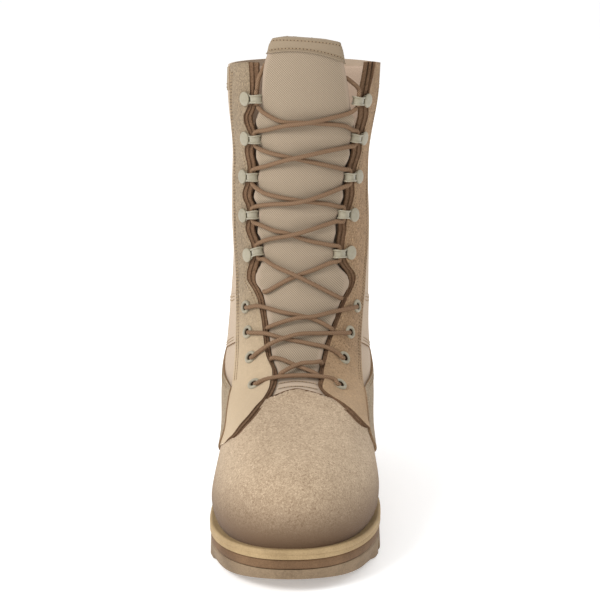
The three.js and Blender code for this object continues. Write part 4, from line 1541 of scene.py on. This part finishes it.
def add_tongue():
    def place(u, v):
        s, t, inner = round_tongue(u, v)
        return tongue_place(clamp(s, -1, 1), t, inner)

    def uv(u, v):
        s, t, _ = round_tongue(u, v)
        z = mix(TONGUE["low"], TONGUE["top"], t)
        return (tongue_x(s, z) * 1.1 * MM, mix(0, 0.245, t))

    piece = grid_piece("tongue_pad", 2 * TONGUE_ACROSS, TONGUE_ROWS, place, uv, closed=True)
    woven = piece.data.attributes.new("woven", "FLOAT", "POINT")
    for i, vertex in enumerate(piece.data.vertices):
        x, _, z = vertex.co / MM
        s = (x - tongue_x(0, z)) / tongue_half(z)
        border = tongue_half(z) * (1 - abs(s))
        beside = throat_gap(x, z) if z < TONGUE_FREE else 30
        edge = min(border if z > 266 else 30, beside + 1.5)
        woven.data[i].value = smooth((edge - 5.0) / 1.2)
    modify(piece, "SUBSURF", levels=1, render_levels=1)
    make_up(piece, "nylon", (NYLON,), "tongue", angle=80)


# The binding from its low edge over the top: share down the band, back or face, and lift.
BINDING_ROWS = (
    (1.0, 0, 0.3), (1.0, 0, 1.2), (0.93, 0, 1.25), (0.9, 0, 0.75), (0.84, 0, 0.8), (0.5, 0, 1.0),
    (0.2, 0, 1.0), (0.06, 0, 0.8), (-0.06, 0, 0.1), (-0.06, 1, 0.1), (0.1, 1, 0.9), (0.7, 1, 0.8),
)


def add_tongue_binding():
    """The smooth band folded over the tongue's top, with two rows of stitches."""
    rows = BINDING_ROWS

    def point(s, share, inner, lift):
        z = TONGUE["top"] - mix(tongue_drop(s), binding_drop(s), share)
        x = tongue_x(s, z)
        face = 1.6 + 1.2 * math.cos(s * 1.5)
        crown = 1 - smooth((abs(s) - 0.8) / 0.2)
        outer = mix(-4.6, face, crown) + lift
        back = -9.6 * math.sqrt(max(0.0, 1 - abs(s) ** 8)) - 4.6 * abs(s) ** 8
        return surface(x, z, back - lift if inner else outer)[0]

    def place(u, v):
        at = v * (len(rows) - 1)
        i = min(int(at), len(rows) - 2)
        share = mix(rows[i][0], rows[i + 1][0], at - i)
        inner = rows[round(at)][1]
        lift = mix(rows[i][2], rows[i + 1][2], at - i)
        return point(2 * u - 1, share, inner, lift)

    piece = grid_piece("tongue_binding", 60, 2 * (len(rows) - 1), place, sized_uv(0.06, 0.04))
    face_along(piece, Y_AXIS, -1)
    make_up(piece, "suede", (NYLON_BINDING,), thick=0.8, bevel=0.2, angle=60)
    lines = []
    for share in (0.14, 0.78):
        lines.append([point(s / 40, share, 0, 1.0) for s in range(-37, 38)])
    return lines


def add_tongue_root():
    """The strip that joins the tongue to the vamp at the throat's base."""

    def place(u, v):
        s = 2 * u - 1
        z = mix(85, 101.5 - 1.5 * s * s, v)
        x = throat_x(z) + s * 23
        return surface(x, z, mix(-1.2, -0.9, v) - 1.0 * abs(s) ** 3)[0]

    piece = grid_piece("tongue_root", 30, 16, place, sized_uv(0.038, 0.014))
    face_along(piece, Y_AXIS, -1)
    make_up(piece, "suede", (NYLON_FINE,), thick=1.2, bevel=0.25, angle=60)
    lines = []
    for z in (97.3, 99.5):
        lines.append([surface(throat_x(z) + x, z - 0.01 * x * x, -0.35)[0] for x in range(-13, 14)])
    return lines


# Fasteners.
HOOK_STRAP = ((-2.0, 0.6), (1.5, 0.6), (4.2, 0.7), (6.0, 1.9), (7.8, 3.1), (10.4, 3.6), (12.7, 3.2),
              (14.0, 1.6), (14.2, -0.6), (13.3, -2.3))
HOOK_DISC = 4.75


def hook_template():
    """A domed disc and a lipped strap that bows over the lace, facing +X."""
    curve = through([Vector(p) for p in HOOK_STRAP])

    def place(u, v):
        across = 2 * v - 1
        x, out = curve(u)
        ahead = curve(min(u + 0.01, 1)) - curve(max(u - 0.01, 0))
        normal = Vector((-ahead.y, ahead.x)).normalized()
        flare = 2.75 + 0.8 * smooth((6.5 - x) / 3.5) + 0.4 * smooth((x - 12.5) / 2.5)
        lip = 0.85 * smooth((abs(across) - 0.5) / 0.25) - 0.25 * smooth((abs(across) - 0.85) / 0.15)
        return Vector((x + normal.x * lip, across * flare, out + normal.y * lip))

    strap = grid_piece("hook_strap", 36, 20, place)
    face_along(strap, Z_AXIS)
    modify(strap, "SOLIDIFY", thickness=0.9 * MM, offset=-1)
    modify(strap, "BEVEL", width=0.25 * MM, segments=2, limit_method="ANGLE", angle_limit=1.0)
    deselect()
    bpy.ops.mesh.primitive_cylinder_add(
        vertices=36, radius=HOOK_DISC * MM, depth=1.0 * MM, location=(0, 0, 1.9 * MM))
    disc = bpy.context.active_object
    bpy.ops.object.transform_apply(location=True, rotation=True, scale=True)
    bpy.ops.object.mode_set(mode="EDIT")
    bpy.ops.mesh.select_mode(type="FACE")
    bpy.ops.mesh.select_all(action="DESELECT")
    bpy.ops.object.mode_set(mode="OBJECT")
    for face in disc.data.polygons:
        face.select = face.normal.z > 0.9
    bpy.ops.object.mode_set(mode="EDIT")
    for inset, rise in ((0.5, 0.2), (1.1, 0.16), (1.4, 0.06), (1.3, -0.08)):
        bpy.ops.mesh.inset(thickness=inset * MM)
        bpy.ops.transform.translate(value=(0, 0, rise * MM))
    bpy.ops.object.mode_set(mode="OBJECT")
    modify(disc, "BEVEL", width=0.35 * MM, segments=3, limit_method="ANGLE", angle_limit=0.8)
    select_only(strap)
    disc.select_set(True)
    bpy.ops.object.join()
    return strap


def placed_copy(template, name, matrix):
    """A copy of a template with its own mesh, in its seat."""
    matrix.translation *= MM
    piece = template.copy()
    piece.data = template.data.copy()
    piece.name = name
    bpy.context.collection.objects.link(piece)
    piece.data.transform(matrix)
    return piece


def add_hooks():
    template = hook_template()
    for side, word in SIDES:
        for i in range(len(HOOKS)):
            hook = placed_copy(template, f"speed_hook_{word}_{i + 1}", hook_seat(side, i))
            if side == LATERAL:
                select_only(hook)
                edit(bpy.ops.mesh.normals_make_consistent, inside=False)
            make_up(hook, "painted_metal", (ENAMEL,), f"hook_{word}_{i + 1}", angle=45)
    bpy.data.objects.remove(template)


# The eyelet's section, from the barrel's end round the rolled rim.
EYELET_RIM = ((2.4, -3.0), (2.4, -1.0), (2.5, 0.5), (2.9, 1.2), (3.6, 1.2), (4.25, 0.6), (4.4, -0.15),
              (3.9, -0.3))


def eyelet_template():
    profile = through([Vector(p) for p in EYELET_RIM])

    def place(u, v):
        radius, out = profile(v)
        turn = 2 * math.pi * u
        return Vector((radius * math.cos(turn), radius * math.sin(turn), out))

    piece = grid_piece("eyelet", 28, 20, place, closed=True)
    modify(piece, "SOLIDIFY", thickness=0.35 * MM, offset=0)
    return piece


def add_eyelet_shade():
    """The dark inside each eyelet, round the cord."""
    parts = []
    for side, _ in SIDES:
        for z, half in EYELETS:
            place = seat(side, z, half, EYELET_LIFT + 0.3)
            place.translation *= MM
            bpy.ops.mesh.primitive_cylinder_add(vertices=24, radius=2.42 * MM, depth=0.3 * MM)
            bpy.context.active_object.data.transform(place)
            parts.append(bpy.context.active_object)
    deselect()
    for part in parts:
        part.select_set(True)
    bpy.context.view_layer.objects.active = parts[0]
    bpy.ops.object.join()
    parts[0].name = "eyelet_shade"
    coat(parts[0], SHADE)
    publish(parts[0], "suede")


def add_eyelets():
    template = eyelet_template()
    add_eyelet_shade()
    for side, word in SIDES:
        for i, (z, half) in enumerate(EYELETS):
            place = seat(side, z, half, EYELET_LIFT)
            eyelet = placed_copy(template, f"rolled_eyelet_{word}_{i + 1}", place)
            make_up(eyelet, "painted_metal", (ENAMEL,), f"eyelet_{word}_{i + 1}", angle=50)
    bpy.data.objects.remove(template)


# Stitches: short raised threads, with small dark beads between them as painted shade in the needle holes.
FINE_ROWS = (2.2, 4.6)  # two rows of stitches in from a panel's edge
STITCH = {"pitch": 2.3, "length": 1.6, "wide": 0.55, "tall": 0.35}


def stitch_places(line, normals, holes):
    """Places along a line of points for the stitches, and half a pitch on for the holes."""
    curve = through(line)
    total = distances(line)[-1]
    count = max(2, int(total / STITCH["pitch"]))
    threads = []
    needles = []
    for i in range(count):
        for share, found in (((i + 0.5) / count, threads), ((i + 1.0) / count, needles)):
            point = curve(share)
            ahead = (curve(min(share + 0.004, 1)) - curve(max(share - 0.004, 0))).normalized()
            normal = normals(point, share)
            across = normal.cross(ahead).normalized()
            matrix = Matrix((ahead, across, across.cross(ahead) * -1)).transposed().to_4x4()
            matrix.translation = point * MM
            found.append(matrix)
    holes.extend(needles)
    return threads


HOLE_SIZE = (0.75, 0.75, 0.3)


def add_beads(name, rings, size, places, material, slot):
    """One small rounded piece of a size in millimetres, at every place."""
    deselect()
    bpy.ops.mesh.primitive_uv_sphere_add(segments=8, ring_count=rings, radius=0.5)
    template = bpy.context.active_object
    template.data.transform(Matrix.Diagonal((*(Vector(size) * MM), 1)))
    beads = copies(name, template, places)
    bpy.data.objects.remove(template)
    coat(beads, material)
    publish(beads, slot)


def chart_line(curve, lift, start, end, count):
    places = [curve(mix(start, end, i / count)) for i in range(count + 1)]
    points = [on_form(p.x, p.y, lift) for p in places]

    def normals(_, share):
        p = places[min(round(share * count), count)]
        return chart_normal(p.x, p.y)

    return points, normals


def add_stitches(free_lines, wing_lines, stay_lines, band_lines):
    threads = []
    holes = []

    def sew(points, normals):
        threads.extend(stitch_places(points, normals, holes))

    def seam(near, far, insets, lift, start, end, count=80):
        for inset in insets:
            sew(*chart_line(inset_line(near, far, inset), lift, start, end, count))

    for side, _ in SIDES:
        near, far, _, throat, rear, _ = quarter_edges(side)
        seam(rear, lambda s: near(SPLIT + (1 - SPLIT) * s), (2.6, 5.2), 1.3, 0.02, 0.985, 120)
        seam(throat, lambda s: far(SPLIT + (1 - SPLIT) * s), (2.6,), 1.35, 0.03, 0.9, 140)
        low = side_edge(side, BAND_LOW)
        top = side_edge(side, BAND_TOP)
        seam(low, top, FINE_ROWS, 1.05, 0.1, 0.48)
        seam(top, low, FINE_ROWS, 1.05, 0.06, 0.92)
    bottom, top = wing_lines
    seam(top, bottom, (2.4, 5.0), 2.15, 0.01, 0.99, 160)
    near, far = stay_lines
    seam(near, far, FINE_ROWS, 1.35, 0.05, 0.99)
    seam(far, near, FINE_ROWS, 1.35, 0.05, 0.99)
    bottom, top = band_lines
    seam(bottom, top, FINE_ROWS, 0.35, 0.02, 0.98, 160)
    for line in free_lines:
        sew(line, lambda point, _: surface(point.x, point.z)[1])
    thread_size = (STITCH["length"], STITCH["wide"], STITCH["tall"] * 2)
    add_beads("stitches", 6, thread_size, threads, THREAD, "lace_cord")
    add_beads("needle_hole_shades", 4, HOLE_SIZE, holes, HOLE_SHADE, "suede")


# Floor and light.
FLOOR = {"tone": 0.93, "glow": 0.3, "size": 14}
STUDIO_GLOW = 0.76


def add_stage():
    deselect()
    bpy.ops.mesh.primitive_plane_add(size=FLOOR["size"], location=(0, 3, 0))
    floor = bpy.context.active_object
    floor.name = "floor"
    material = bpy.data.materials.new("floor")
    material.use_nodes = True
    shader = material.node_tree.nodes["Principled BSDF"]
    shader.inputs["Base Color"].default_value = (FLOOR["tone"], FLOOR["tone"], FLOOR["tone"], 1)
    shader.inputs["Emission Color"].default_value = (1, 1, 1, 1)
    shader.inputs["Emission Strength"].default_value = FLOOR["glow"]
    shader.inputs["Roughness"].default_value = 0.9
    floor.data.materials.append(material)
    world = bpy.data.worlds.new("studio")
    bpy.context.scene.world = world
    world.use_nodes = True
    background = world.node_tree.nodes["Background"]
    background.inputs["Color"].default_value = (1, 1, 1, 1)
    background.inputs["Strength"].default_value = STUDIO_GLOW


def add_light(name, place, target, size, power):
    data = bpy.data.lights.new(name, "AREA")
    data.shape = "DISK"
    data.size = size
    data.energy = power
    light = bpy.data.objects.new(name, data)
    bpy.context.collection.objects.link(light)
    light.location = place
    aim = Vector(target) - Vector(place)
    light.rotation_euler = aim.to_track_quat("-Z", "Y").to_euler()


add_stage()
add_light("key", (-1.5, -1.2, 1.65), (0, 0, 0.15), 1.1, 35)
add_light("fill", (1.5, -1.3, 1.0), (0, 0, 0.15), 1.4, 1.5)
add_light("back", (0.3, 1.5, 1.6), (0, 0, 0.2), 1.2, 8)
bpy.context.scene.view_settings.view_transform = "Standard"

add_vamp()
for side, word in SIDES:
    add_quarter(side, word)
    add_facing_layers(side, word)
    add_nylon_side(side, word)
    add_ankle_band(side, word)
wing_lines = add_wing()
stay_lines = add_backstay()
add_collar()
band_lines = add_collar_band()
add_insole()
around_sole("welt_rim", LEDGE_ROWS, "outsole_rubber", LEDGE_RUBBER, "welt")
around_sole("wedge_layer", WEDGE_ROWS, "midsole_rubber", WEDGE_RUBBER, "midsole")
add_outsole()
add_tongue()
binding_lines = add_tongue_binding()
root_lines = add_tongue_root()
add_hooks()
add_eyelets()
add_stitches([*binding_lines, *root_lines], wing_lines, stay_lines, band_lines)
